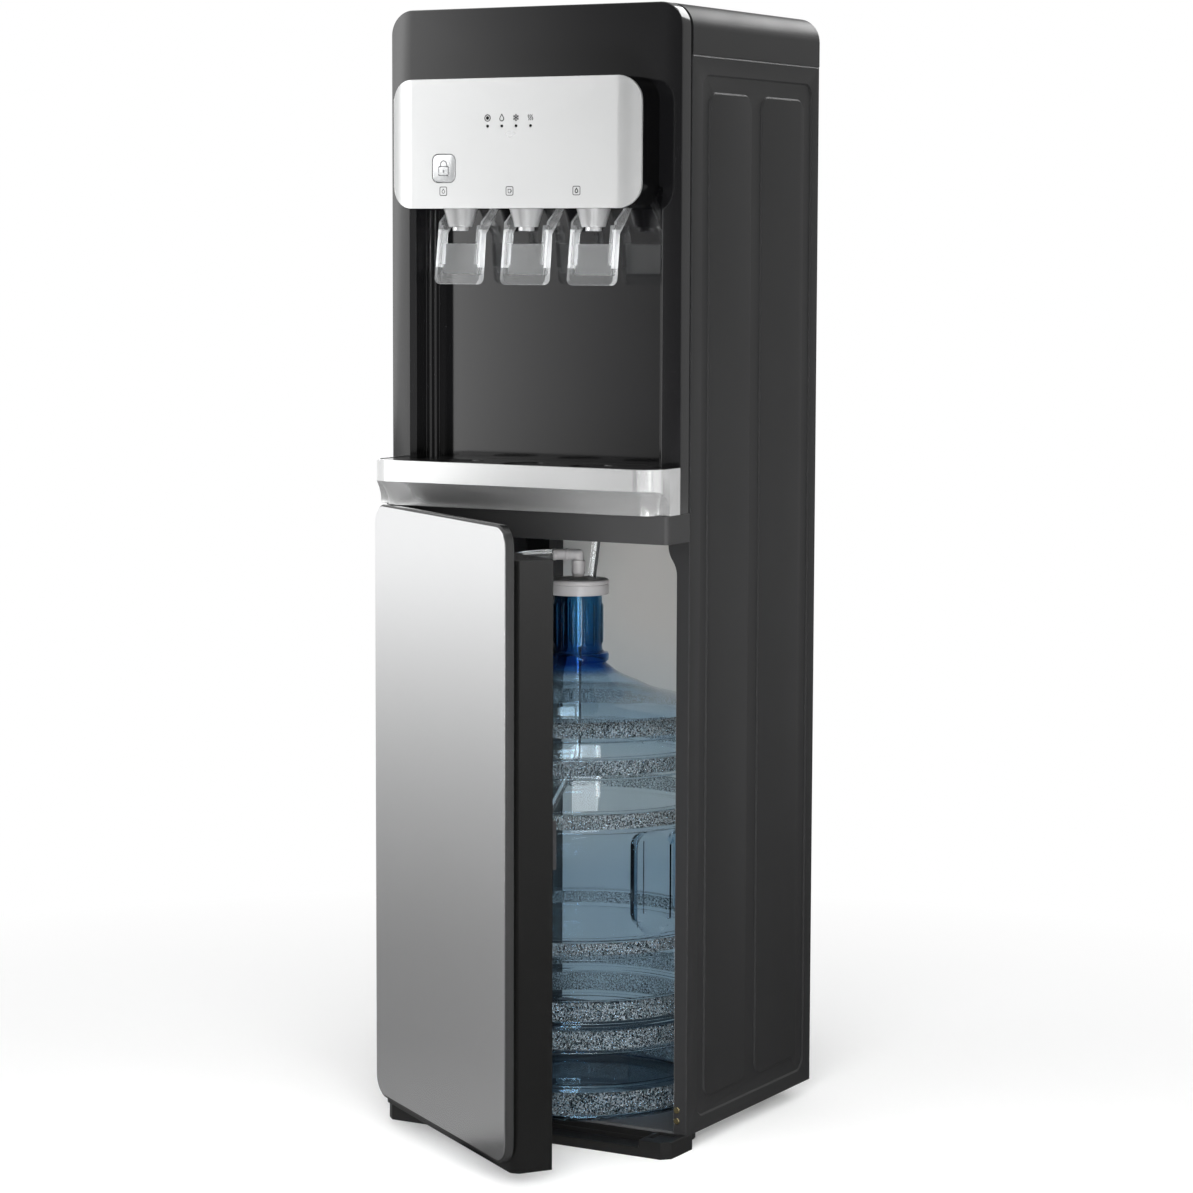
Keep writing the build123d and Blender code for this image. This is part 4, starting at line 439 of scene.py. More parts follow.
# smooth faces between sharp edges, the finish, and what the frame has to know of the piece
def settlePiece(piece, finish, body, replaced, sharp):
    mesh = piece.data
    mesh.materials.clear()
    mesh.materials.append(finish)
    mesh.polygons.foreach_set("use_smooth", [True] * len(mesh.polygons))
    mesh.set_sharp_from_angle(angle=math.radians(sharp))
    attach(piece, body)
    if replaced:
        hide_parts(*replaced)


def meshPiece(name, bm, finish, replaced=(), body="cabinet", sharp=32, outward=True):
    if outward:
        bmesh.ops.recalc_face_normals(bm, faces=bm.faces)
    mesh = bpy.data.meshes.new(name)
    bm.to_mesh(mesh)
    bm.free()
    piece = newObject(name, mesh)
    settlePiece(piece, finish, body, replaced, sharp)
    return piece


# the visible CAD pieces again, merged, with smooth curves and small round edges
softEdge = {"merge": 0.01 * mm, "flat": 0.4, "sharp": 32, "segments": 2}
edgeWidths = {
    "side_panel_left": 0.3, "side_panel_right": 0.3, "top_cover": 0.8, "front_bezel": 0.4, "niche_liner": 0.4,
    "header_bar": 0.7, "control_housing": 0.5, "control_fascia": 0.6, "lock_button": 0.3, "tray_trim": 0.4,
    "drip_basin": 0.3, "drip_grille": 0.35, "base_plinth": 0.7, "base_pan": 0.5, "door_skin": 0.35,
    "door_frame": 0.3, "door_liner": 0.6, "lever_left": 0.35, "lever_middle": 0.35, "lever_right": 0.35,
    "compartment_back": 0.3, "corner_duct": 0.4, "rear_panel": 0.2, "switch_housing": 0.4,
    "rocker_heating": 0.4, "rocker_cooling": 0.4, "cord_gland": 0.3, "drain_plug": 0.4, "flange_screws": 0.15,
    "lever_rail": 0.3, "feet": 0.3, "condenser_clips": 0.5,
}
for name, width in edgeWidths.items():
    bm = bmesh.new()
    bm.from_mesh(nodes[name].data)
    bmesh.ops.remove_doubles(bm, verts=bm.verts, dist=softEdge["merge"])
    bmesh.ops.dissolve_limit(bm, angle_limit=math.radians(softEdge["flat"]), verts=bm.verts, edges=bm.edges)
    piece = meshPiece(name + "Soft", bm, finishOf[name], (name,), bodyOf[name], outward=False)
    bevel = piece.modifiers.new("softEdge", "BEVEL")
    bevel.width = width * mm
    bevel.segments = softEdge["segments"]
    bevel.limit_method = "ANGLE"
    bevel.angle_limit = math.radians(softEdge["sharp"])
    bevel.harden_normals = True
print("edges softened on", len(edgeWidths), "pieces")


def ringVerts(bm, centre, first, second, radius, turns):
    angles = [2 * math.pi * step / turns for step in range(turns)]
    points = [centre + first * (radius * math.cos(a)) + second * (radius * math.sin(a)) for a in angles]
    return [bm.verts.new(point) for point in points]


def bridgeRings(bm, rings):
    for low, high in zip(rings, rings[1:]):
        count = len(low)
        for step in range(count):
            follow = (step + 1) % count
            bm.faces.new((low[step], low[follow], high[follow], high[step]))


def tube(bm, rings):
    bridgeRings(bm, rings)
    bm.faces.new(rings[0])
    bm.faces.new(rings[-1])


# a turned shape: pairs of radius and distance along the axis, in millimetres, closed at both ends
def turnedSolid(bm, profile, origin, axis, turns):
    first = axis.orthogonal().normalized()
    second = axis.cross(first)
    tube(bm, [ringVerts(bm, origin + axis * (along * mm), first, second, radius * mm, turns)
              for radius, along in profile])


# a turned shape with a hole through it: pairs of radius and height that come back to the first
def turnedHollow(bm, profile, x, y, turns):
    rings = [ringVerts(bm, Vector((x * mm, y * mm, along * mm)), east, north, radius * mm, turns)
             for radius, along in profile]
    bridgeRings(bm, rings + rings[:1])


# a round edge or stroke: points on an arc from one angle to another, in degrees
def arcPoints(x, y, radius, start, end, steps=5):
    angles = [math.radians(start + (end - start) * step / steps) for step in range(steps + 1)]
    return [(x + radius * math.cos(a), y + radius * math.sin(a)) for a in angles]


# the taps' collars: a bright cone with a rolled foot, and a short nozzle under it
collar = {
    "spots": ((-71.0, "left"), (0.0, "middle"), (71.0, "right")), "y": -32.0,
    "top": 872.2, "foot": 855.4, "end": 851.7,
    "topRadius": 15.7, "footRadius": 11.2, "nozzle": 7.4, "bore": 4.5,
    "roll": 1.0, "lip": 0.3, "gap": 0.05, "nozzleRound": 0.5, "coneSteps": 12, "turns": 72,
}


def collarProfile():
    top, foot, end, roll, lip = (collar[key] for key in ("top", "foot", "end", "roll", "lip"))
    points = [(collar["bore"], top - collar["gap"]), (collar["topRadius"] - 0.2, top - collar["gap"])]
    coneLength = top - foot - 1.5 * roll
    for step in range(collar["coneSteps"] + 1):
        share = step / collar["coneSteps"]
        radius = collar["topRadius"] + (collar["footRadius"] - collar["topRadius"]) * share
        points.append((radius, top - lip - coneLength * share))
    points += arcPoints(collar["footRadius"] - roll, foot + roll, roll * 0.98, 0, -90)
    points += [(collar["nozzle"] + 0.4, foot), (collar["nozzle"], foot - 0.2)]
    nozzleRound = collar["nozzleRound"]
    points += arcPoints(collar["nozzle"] - nozzleRound, end + nozzleRound, nozzleRound, 0, -90)
    return points + [(collar["bore"] + lip, end), (collar["bore"], end + lip)]


for x, side in collar["spots"]:
    bm = bmesh.new()
    turnedHollow(bm, collarProfile(), x, collar["y"], collar["turns"])
    node = "tap_collar_" + side
    meshPiece("collar" + side.capitalize(), bm, collarChrome, (node,), sharp=40)
print("collars turned")

# generic marks printed on the fascia and the button: strokes as thin raised ribbons
marks = {
    "face": -56.7, "lockFace": -57.1, "raise": 0.08, "sink": 0.02, "lap": 0.6,
    "lampZ": 954.2, "lampXs": (-26.8, -11.6, 3.5, 18.8),
    "tapZ": 888.0, "tapXs": (-74.5, -3.3, 67.1), "tapDrops": (0.55, None, 0.9),
    "lock": (-74.0, 908.9),
}


def boxStroke(x, z, halfWidth, halfHeight, corner):
    points = []
    for sx, sz, start in ((1, 1, 0), (-1, 1, 90), (-1, -1, 180), (1, -1, 270)):
        centre = (x + sx * (halfWidth - corner), z + sz * (halfHeight - corner))
        points += arcPoints(*centre, corner, start, start + 90)
    return points + points[:1]


def dropStroke(x, z, size):
    tip = (x, z + size * 1.15)
    return [tip] + arcPoints(x, z - size * 0.25, size * 0.72, 35, -215, 18) + [tip]


def flakeStrokes(x, z, arm=3.1, fork=1.7, twig=1.1, lean=50, armLine=0.75, twigLine=0.6):
    strokes = []
    for turn in range(6):
        angle = math.radians(60 * turn + 30)
        reach = Vector((math.cos(angle), math.sin(angle)))
        strokes.append(([(x, z), (x + reach.x * arm, z + reach.y * arm)], armLine))
        start = (x + reach.x * fork, z + reach.y * fork)
        for side in (lean, -lean):
            branch = angle + math.radians(side)
            end = (start[0] + math.cos(branch) * twig, start[1] + math.sin(branch) * twig)
            strokes.append(([start, end], twigLine))
    return strokes


def steamStrokes(x, z, apart=1.9, sway=0.6, rise=4.8, steps=12, line=0.7):
    strokes = []
    for shift in (-apart, 0.0, apart):
        wave = [(x + shift + sway * math.sin(step / steps * 2 * math.pi), z - rise / 2 + rise * step / steps)
                for step in range(steps + 1)]
        strokes.append((wave, line))
    return strokes


def cupStrokes(x, z):
    cup = [(x - 1.7, z + 1.5), (x - 1.3, z - 1.8), (x + 1.0, z - 1.8), (x + 1.4, z + 1.5)]
    return [(cup + cup[:1], 0.55), (arcPoints(x + 1.3, z, 1.0, 80, -80, 8), 0.45)]


def lampMarks():
    z = marks["lampZ"]
    ringX, dropX, flakeX, steamX = marks["lampXs"]
    ring = [(arcPoints(ringX, z, 2.9, 0, 360, 28), 0.8), (arcPoints(ringX, z, 0.8, 0, 360, 12), 1.6)]
    return ring + [(dropStroke(dropX, z, 2.9), 0.8)] + flakeStrokes(flakeX, z) + steamStrokes(steamX, z)


def tapMarks():
    z = marks["tapZ"]
    strokes = []
    for x, dropLine in zip(marks["tapXs"], marks["tapDrops"]):
        strokes.append((boxStroke(x, z, 3.7, 3.9, 1.3), 0.65))
        strokes += [(dropStroke(x, z, 1.9), dropLine)] if dropLine else cupStrokes(x, z)
    return strokes


def lockMarks():
    x, z = marks["lock"]
    shackle = [(x - 3.3, z + 1.7)] + arcPoints(x, z + 3.6, 3.3, 180, 0, 16) + [(x + 3.3, z + 1.7)]
    keyhole = [(x, z - 1.4), (x, z - 3.6)]
    return [(boxStroke(x, z - 2.4, 5.2, 4.1, 1.2), 0.75), (shackle, 0.75), (keyhole, 0.9)]


def layStroke(bm, points, width, face):
    half = width / 2
    for (x0, z0), (x1, z1) in zip(points, points[1:]):
        run = Vector((x1 - x0, 0, z1 - z0)).normalized()
        side = Vector((-run.z, 0, run.x)) * half
        lap = run * half * marks["lap"]
        start, end = Vector((x0, 0, z0)) - lap, Vector((x1, 0, z1)) + lap
        corners = [start - side, end - side, end + side, start + side]
        front = [bm.verts.new((c + north * (face - marks["raise"])) * mm) for c in corners]
        back = [bm.verts.new((c + north * (face + marks["sink"])) * mm) for c in corners]
        bm.faces.new(front)
        bm.faces.new(back[::-1])
        bridgeRings(bm, [front, back])


def printMarks(name, strokes, face, finish, body):
    bm = bmesh.new()
    for points, width in strokes:
        layStroke(bm, points, width, face)
    meshPiece(name, bm, finish, body=body)


printMarks("fasciaMarks", lampMarks() + tapMarks(), marks["face"], printDark, "cabinet")
printMarks("lockMark", lockMarks(), marks["lockFace"], printPale, "button")
print("marks printed")

# the bottle: one shell with its rings, the shoulder and the two pockets of the handle; heights of the
# underside, foot, rings and shoulder are in millimetres above the base, and a profile pairs them with radii
bottle = {
    "centre": (-17.5 * mm, 96.0 * mm), "base": 17.6 * mm, "radius": 134.0 * mm, "wall": 2.0 * mm,
    "underside": ((4.0, 0.8), (4.0, 73.7), (1.0, 107.2)), "pinhole": 0.6 * mm, "floorBand": 5.0 * mm,
    "turns": 232, "closest": 0.35, "edgeSteps": (-2.4, -1.6, -0.8, 0.0, 0.8, 1.6, 2.4),
    "bodySteps": (14.0, 7.0, 50), "pocketSteps": (170.0, 2.6, 46),
    "footSteps": (0.0, 1.2, 2.4, 4.5, 6.0, 8.0, 11.0),
    "topSteps": (358.0, 359.5, 360.3, 361.1, 361.9, 362.6, 366.0),
    "footHeight": 3.4, "footInset": 14.0 * mm, "footRound": 10.0 * mm, "cornerHeight": 10.0,
    "rings": ((3.4, 33.4), (67.4, 88.4), (95.4, 114.4), (156.4, 173.4), (276.4, 293.4), (327.4, 344.4),
              (362.4, 374.0)),
    "ringDepth": 4.5 * mm, "ringEase": 2.5,
    "bodyFrom": 120.0 * mm,
    "pockets": (-26.0, 10.0), "pocketHalf": (15.0 * mm, 47.0 * mm), "pocketHeight": 242.5 * mm,
    "pocketDepth": 28.0 * mm, "pocketLean": 11.0 * mm,
    "lugs": (-138, -84, -30, 24, 78, 132), "lugSpan": (455.5 * mm, 497.5 * mm), "lugHalf": 14, "lugEase": 5,
    "lugLean": 4.0 * mm, "lugRise": 1.5 * mm,
    "shoulder": (
        (370.4, 134.0), (374.0, 132.6), (377.5, 129.5), (380.5, 124.0), (384.0, 115.5), (387.0, 106.0),
        (390.4, 92.7), (393.9, 79.2), (397.5, 70.0), (402.4, 59.8), (406.4, 50.0), (410.8, 40.5),
        (414.0, 35.6), (417.5, 31.6), (420.5, 27.6), (422.5, 27.2), (422.9, 29.0), (424.4, 29.8),
        (429.4, 29.8), (430.9, 29.0), (431.6, 25.4), (434.0, 23.6), (438.4, 23.1), (440.0, 23.0),
        (441.6, 23.0), (443.2, 23.0), (460.0, 23.0), (474.5, 23.0), (476.1, 23.0), (477.7, 23.0),
        (479.4, 23.0), (485.0, 23.0), (492.0, 22.6)),
}


def eased(share):
    share = max(0.0, min(1.0, share))
    return share * share * (3 - 2 * share)


def ringReach(height):
    ease = bottle["ringEase"]
    return max(eased(min(height - low + ease, high + ease - height) / ease) for low, high in bottle["rings"])


def bottleRadius(height):
    radius, inset, footRound = bottle["radius"], bottle["footInset"], bottle["footRound"]
    if height < bottle["footHeight"]:
        return radius - inset + footRound * math.sqrt(height / bottle["footHeight"])
    corner = max(0.0, 1 - (height - bottle["footHeight"]) / bottle["cornerHeight"])
    return radius - (inset - footRound) * corner ** 2 - bottle["ringDepth"] * (1 - ringReach(height))


def pocketShare(angle, height):
    share = 0.0
    halfWidth, halfHeight = bottle["pocketHalf"]
    lean = bottle["pocketLean"]
    for middle in bottle["pockets"]:
        across = (angle - math.radians(middle)) * bottle["radius"]
        beyond = max(0.0, abs(height - bottle["pocketHeight"]) - (halfHeight - halfWidth))
        distance = math.hypot(across, beyond) - halfWidth
        share = max(share, eased((lean / 2 - distance) / lean))
    return share


def lugShare(angle, height):
    nearest = min(abs((math.degrees(angle) - lug + 180) % 360 - 180) for lug in bottle["lugs"])
    low, high = bottle["lugSpan"]
    upright = eased(min(height - low, high - height) / bottle["lugLean"])
    return eased((bottle["lugHalf"] - nearest) / bottle["lugEase"]) * upright


# even steps up the body, finer over the pockets, at the rings' edges, the foot and the top
def bodyHeights():
    heights = {*bottle["footSteps"], *bottle["topSteps"]}
    for start, step, count in (bottle["bodySteps"], bottle["pocketSteps"]):
        heights |= {start + step * index for index in range(count)}
    for low, high in bottle["rings"][:-1]:
        heights |= {edge + shift for edge in (low, high) for shift in bottle["edgeSteps"]}
    heights = sorted(heights)
    steps = zip(heights, heights[1:] + [math.inf])
    return [height for height, follow in steps if follow - height > bottle["closest"]]


def bottleWall(inset):
    base, pinhole = bottle["base"], bottle["pinhole"]
    low = base + bottle["floorBand"]
    profile = [(reach * mm, base + height * mm) for height, reach in bottle["underside"]]
    profile += [(bottleRadius(height), base + height * mm) for height in bodyHeights()]
    profile += [(reach * mm, base + height * mm) for height, reach in bottle["shoulder"]]
    return [(max(pinhole, r - inset), z + (inset if z < low else 0)) for r, z in profile]


def buildBottle():
    bm = bmesh.new()
    mouths = []
    centreX, centreY = bottle["centre"]
    for inset in (0.0, bottle["wall"]):
        rings = [ringVerts(bm, Vector((centreX, centreY, height)), east, north, radius, bottle["turns"])
                 for radius, height in bottleWall(inset)]
        bridgeRings(bm, rings)
        bm.faces.new(rings[0])
        mouths.append(rings[-1])
        for vert in (v for ring in rings for v in ring):
            dx, dy = vert.co.x - centreX, vert.co.y - centreY
            radius, angle = math.hypot(dx, dy), math.atan2(dy, dx)
            if radius > bottle["bodyFrom"]:
                push = pocketShare(angle, vert.co.z) * bottle["pocketDepth"] / radius
            else:
                push = -lugShare(angle, vert.co.z) * bottle["lugRise"] / radius
            vert.co.x -= dx * push
            vert.co.y -= dy * push
    bridgeRings(bm, mouths)
    meshPiece("bottleShell", bm, bottleClear, ("bottle",), sharp=50)


buildBottle()
print("bottle shaped")

# the cap on the bottle's mouth
cap = {"spot": (-17.5, 96.0), "low": 505.0, "top": 519.6, "radius": 29.3, "bore": 4.1, "neck": 23.2,
       "overlap": 5.0, "lowRound": 0.6, "topRound": 2.0, "groove": 0.5, "turns": 96}
# the stem and the elbow on the cap; the ribs are where the arm's sleeve rises and falls again
elbow = {"radius": 6.6, "top": 537.6, "armZ": 543.0, "armRadius": 5.2, "armLength": 25.0, "heading": 212.0,
         "rib": 0.7, "ribs": ((9, 9.6, 12.4, 13), (21, 21.6, 24, 24.8)), "turns": 48}


def capProfile():
    radius, low, top = cap["radius"], cap["low"], cap["top"]
    lowRound, topRound, grooved = cap["lowRound"], cap["topRound"], cap["radius"] - cap["groove"]
    points = [(cap["neck"], low + cap["overlap"]), (cap["neck"], low), (radius - lowRound, low)]
    points += arcPoints(radius - lowRound, low + lowRound, lowRound, -90, 0, 3)
    points += [(radius, top - 5.2), (grooved, top - 4.7), (grooved, top - 4.1), (radius, top - 3.6)]
    points += arcPoints(radius - topRound, top - topRound, topRound, 0, 90)
    points += [(radius - 3.6, top), (radius - 4.4, top - 0.9), (elbow["radius"] + 3.4, top - 0.9)]
    return points + [(elbow["radius"] + 2.6, top - 0.1), (cap["bore"], top - 0.1),
                     (cap["bore"], low + cap["overlap"])]


def stemProfile():
    low, top, radius, armRadius = cap["top"], elbow["top"], elbow["radius"], elbow["armRadius"]
    flange = [(radius + 2.2, low - 0.05), (radius + 2.2, low + 1.2), (radius - 0.9, low + 1.9),
              (radius - 0.9, low + 4.6)]
    stem = [(radius, low + 5.2), (radius, top - 0.8), (radius - 0.6, top), (armRadius, top)]
    dome = [math.radians(angle) for angle in (0, 18, 36, 54, 72, 86)]
    return flange + stem + [(armRadius * math.cos(a), elbow["armZ"] + armRadius * math.sin(a)) for a in dome]


def armProfile():
    radius, ribRadius = elbow["armRadius"], elbow["armRadius"] + elbow["rib"]
    points = [(radius, 0)]
    for start, risen, falling, end in elbow["ribs"]:
        points += [(radius, start), (ribRadius, risen), (ribRadius, falling), (radius, end)]
    return points + [(radius - elbow["rib"], elbow["armLength"])]


capX, capY = cap["spot"]
bm = bmesh.new()
turnedHollow(bm, capProfile(), capX, capY, cap["turns"])
meshPiece("probeCap", bm, capPlastic, ("probe_cap",), sharp=35)
heading = math.radians(elbow["heading"])
armDirection = Vector((math.cos(heading), math.sin(heading), 0))
bm = bmesh.new()
turnedSolid(bm, stemProfile(), Vector((capX, capY, 0)) * mm, Vector((0, 0, 1)), elbow["turns"])
turnedSolid(bm, armProfile(), Vector((capX, capY, elbow["armZ"])) * mm, armDirection, elbow["turns"])
meshPiece("elbowFitting", bm, capPlastic, ("elbow_fitting",), sharp=35)
print("cap and elbow turned")


# straight runs joined by arcs, as points close together
def roundedRoute(corners, radius, steps=10):
    route = [Vector(corners[0])]
    for before, corner, after in zip(corners, corners[1:], corners[2:]):
        before, corner, after = Vector(before), Vector(corner), Vector(after)
        first, second = (before - corner).normalized(), (after - corner).normalized()
        half = first.angle(second) / 2
        reach = radius / math.tan(half)
        centre = corner + (first + second).normalized() * (radius / math.sin(half))
        start, end = corner + first * reach - centre, corner + second * reach - centre
        for step in range(steps + 1):
            route.append(centre + start.slerp(end, step / steps).normalized() * radius)
    return route + [Vector(corners[-1])]


# a rod along a route in millimetres
def sweptRod(bm, route, radius, turns):
    route = [point * mm for point in route]
    rings = []
    first = (route[1] - route[0]).orthogonal().normalized()
    for index, point in enumerate(route):
        run = (route[min(index + 1, len(route) - 1)] - route[max(index - 1, 0)]).normalized()
        first = (first - run * first.dot(run)).normalized()
        rings.append(ringVerts(bm, point, first, run.cross(first), radius, turns))
    tube(bm, rings)


dip = {"radius": 3.2 * mm, "bend": 40.0, "turns": 28,
       "corners": ((-17.5, 96.0, 519.6), (-17.5, 96.0, 344.6), (-51.5, 90.0, 279.6), (-51.5, 90.0, 31.6))}
bm = bmesh.new()
sweptRod(bm, roundedRoute(dip["corners"], dip["bend"]), dip["radius"], dip["turns"])
meshPiece("dipTube", bm, tubeClear, ("dip_tube",), sharp=40)

suction = {"name": "suctionHose", "node": "suction_hose", "width": 8.8 * mm, "length": 0.275,
           "lay": "hanging",
           "route": ((-38.7, 82.75, 543.0), (-61.6, 68.44, 543.0), (-80.0, 49.0, 535.0), (-91.0, 35.0, 512.9),
                     (-91.0, 35.0, 478.5), (-112.0, 56.0, 461.3), (-133.0, 77.0, 478.5),
                     (-133.0, 77.0, 512.9), (-122.0, 66.0, 545.0), (-122.0, 66.0, 572.5))}
vent = {"name": "ventHose", "node": "vent_hose", "width": 7.9 * mm, "length": 0.0533, "lay": "taut",
        "route": ((-7.0, 104.0, 519.6), (-4.5, 106.0, 546.0), (-2.0, 108.0, 572.5))}


def buildHose(hose, roundness=6, smoothness=16, order=3):
    data = bpy.data.curves.new(hose["name"], "CURVE")
    data.dimensions = "3D"
    data.bevel_depth = hose["width"] / 2
    data.bevel_resolution = roundness
    data.resolution_u = smoothness
    data.use_fill_caps = True
    spline = data.splines.new("NURBS")
    spline.points.add(len(hose["route"]) - 1)
    for point, place in zip(spline.points, hose["route"]):
        point.co = (*(c * mm for c in place), 1)
    spline.order_u = order
    spline.use_endpoint_u = True
    piece = newObject(hose["name"], data)
    data.materials.append(tubeClear)
    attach(piece, "cabinet")
    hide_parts(hose["node"])


buildHose(suction)
buildHose(vent)
print("tubes and hoses laid")


# what repeats is made by Geometry Nodes: a straight row of one shape, which makePart adds to the tree
def rowTree(name, sizes, makePart, turn=(0, 0, 0)):
    tree = bpy.data.node_groups.new(name, "GeometryNodeTree")
    inputs = [("Count", "NodeSocketInt", 2), ("Start", "NodeSocketVector", (0, 0, 0)),
              ("Step", "NodeSocketVector", (0.1, 0, 0))]
    inputs += [(label, "NodeSocketFloat", value) for label, value in sizes.items()]
    sockets = {}
    for label, kind, value in inputs + [("Finish", "NodeSocketMaterial", None)]:
        socket = tree.interface.new_socket(name=label, in_out="INPUT", socket_type=kind)
        if value is not None:
            socket.default_value = value
        sockets[label] = socket.identifier
    tree.interface.new_socket(name="Geometry", in_out="OUTPUT", socket_type="NodeSocketGeometry")
    given = tree.nodes.new("NodeGroupInput").outputs
    groupOut = tree.nodes.new("NodeGroupOutput")
    row = tree.nodes.new("GeometryNodeMeshLine")
    spread = tree.nodes.new("GeometryNodeInstanceOnPoints")
    spread.inputs["Rotation"].default_value = turn
    real = tree.nodes.new("GeometryNodeRealizeInstances")
    paint = tree.nodes.new("GeometryNodeSetMaterial")
    for source, node, label in (
        (given["Count"], row, "Count"),
        (given["Start"], row, "Start Location"),
        (given["Step"], row, "Offset"),
        (row.outputs["Mesh"], spread, "Points"),
        (makePart(tree, given), spread, "Instance"),
        (spread.outputs["Instances"], real, "Geometry"),
        (real.outputs["Geometry"], paint, "Geometry"),
        (given["Finish"], paint, "Material"),
        (paint.outputs["Geometry"], groupOut, "Geometry"),
    ):
        tree.links.new(source, node.inputs[label])
    return tree, sockets


# the grown row is kept as a plain mesh
def grownPiece(name, tree, sockets, values, replaced=(), sharp=35):
    piece = newObject(name, bpy.data.meshes.new(name + "Seed"))
    grow = piece.modifiers.new("grow", "NODES")
    grow.node_group = tree
    for label, value in values.items():
        grow[sockets[label]] = value
    bpy.context.view_layer.update()
    mesh = bpy.data.meshes.new_from_object(piece.evaluated_get(bpy.context.evaluated_depsgraph_get()))
    piece.modifiers.remove(grow)
    piece.data = mesh
    settlePiece(piece, values["Finish"], "cabinet", replaced, sharp)


# upright wires, one row on each face of the coil
wireRow = {"radius": 0.68 * mm, "span": 205.2 * mm, "count": 19, "low": 77.5 * mm, "length": 475.0 * mm,
           "y": (265.8 * mm, 272.2 * mm)}


def wirePart(tree, sizes):
    wire = tree.nodes.new("GeometryNodeMeshCylinder")
    wire.inputs["Vertices"].default_value = 10
    tree.links.new(sizes["Radius"], wire.inputs["Radius"])
    tree.links.new(sizes["Length"], wire.inputs["Depth"])
    return wire.outputs["Mesh"]


tree, sockets = rowTree("wireRow", {"Radius": 0.0007, "Length": 0.475}, wirePart)
for side, y in zip(("Inner", "Outer"), wireRow["y"]):
    grownPiece("condenserWires" + side, tree, sockets, {
        "Count": wireRow["count"],
        "Start": (-wireRow["span"] / 2, y, wireRow["low"] + wireRow["length"] / 2),
        "Step": (wireRow["span"] / (wireRow["count"] - 1), 0, 0),
        "Radius": wireRow["radius"], "Length": wireRow["length"], "Finish": enamelBlack,
    }, ("condenser",))

# the coil between the wires
coil = {"y": 269.0, "radius": 2.35 * mm, "low": 90.0, "pitch": 50.0, "passes": 10, "half": 114.0,
        "bendSteps": 12, "turns": 16}
route = []
bend = coil["pitch"] / 2
for index in range(coil["passes"]):
    side = 1 if index % 2 == 0 else -1
    z = coil["low"] + coil["pitch"] * index
    route += [Vector((-side * coil["half"], coil["y"], z)), Vector((side * coil["half"], coil["y"], z))]
    if index < coil["passes"] - 1:
        for step in range(1, coil["bendSteps"]):
            angle = math.radians(-90 + 180 * step / coil["bendSteps"])
            reach = coil["half"] + bend * math.cos(angle)
            route.append(Vector((side * reach, coil["y"], z + bend + bend * math.sin(angle))))
bm = bmesh.new()
sweptRod(bm, route, coil["radius"], coil["turns"])
meshPiece("condenserCoil", bm, enamelBlack, ("condenser",), sharp=45)
print("condenser wound")

# screws down both edges of the rear panel: a flat washer and a tapered head, in shares of the sizes
screws = {"radius": 3.4 * mm, "rise": 1.5 * mm, "y": 260.0 * mm, "columns": (-139.0 * mm, 139.0 * mm),
          "low": 42.0 * mm, "high": 985.0 * mm, "count": 7, "washer": 0.3, "headTop": 0.55, "headLow": 0.85}


def screwPart(tree, sizes):
    washer = tree.nodes.new("GeometryNodeMeshCylinder")
    head = tree.nodes.new("GeometryNodeMeshCone")
    join = tree.nodes.new("GeometryNodeJoinGeometry")
    for node, label, size in (
        (washer, "Radius", sizes["Radius"]),
        (washer, "Depth", product(tree, sizes["Rise"], screws["washer"])),
        (head, "Radius Top", product(tree, sizes["Radius"], screws["headTop"])),
        (head, "Radius Bottom", product(tree, sizes["Radius"], screws["headLow"])),
        (head, "Depth", sizes["Rise"]),
    ):
        tree.links.new(size, node.inputs[label])
    for node in (washer, head):
        node.inputs["Vertices"].default_value = 24
        tree.links.new(node.outputs["Mesh"], join.inputs[0])
    return join.outputs[0]


faceRear = (math.radians(-90), 0, 0)
tree, sockets = rowTree("screwColumn", {"Radius": 0.0034, "Rise": 0.0015}, screwPart, faceRear)
for side, x in zip(("Left", "Right"), screws["columns"]):
    grownPiece("rearScrews" + side, tree, sockets, {
        "Count": screws["count"],
        "Start": (x, screws["y"], screws["low"]),
        "Step": (0, 0, (screws["high"] - screws["low"]) / (screws["count"] - 1)),
        "Radius": screws["radius"], "Rise": screws["rise"], "Finish": steelBright,
    })
print("rear screws set")

# the side panels' upper folds show as a thin line under the cover; the fold is coloured far paler than the
# panel coat, a painted highlight along it
fold = {"x": 154.6 * mm, "reach": 0.75 * mm, "low": 1008.9 * mm, "high": 1010.4 * mm, "front": 1.0 * mm,
        "rear": 258.0 * mm, "lip": 0.4 * mm}
for side, name in ((-1, "Left"), (1, "Right")):
    bm = bmesh.new()
    x, reach = side * fold["x"], side * fold["reach"]
    low, high, lip = fold["low"], fold["high"], fold["lip"]
    outline = [(x, low), (x + reach * 0.6, low), (x + reach, low + lip), (x + reach, low + 2 * lip),
               (x + reach * 0.4, high), (x, high)]
    tube(bm, [[bm.verts.new((px, y, pz)) for px, pz in outline] for y in (fold["front"], fold["rear"])])
    meshPiece("panelFold" + name, bm, foldHighlight, sharp=60)
print("folds drawn")

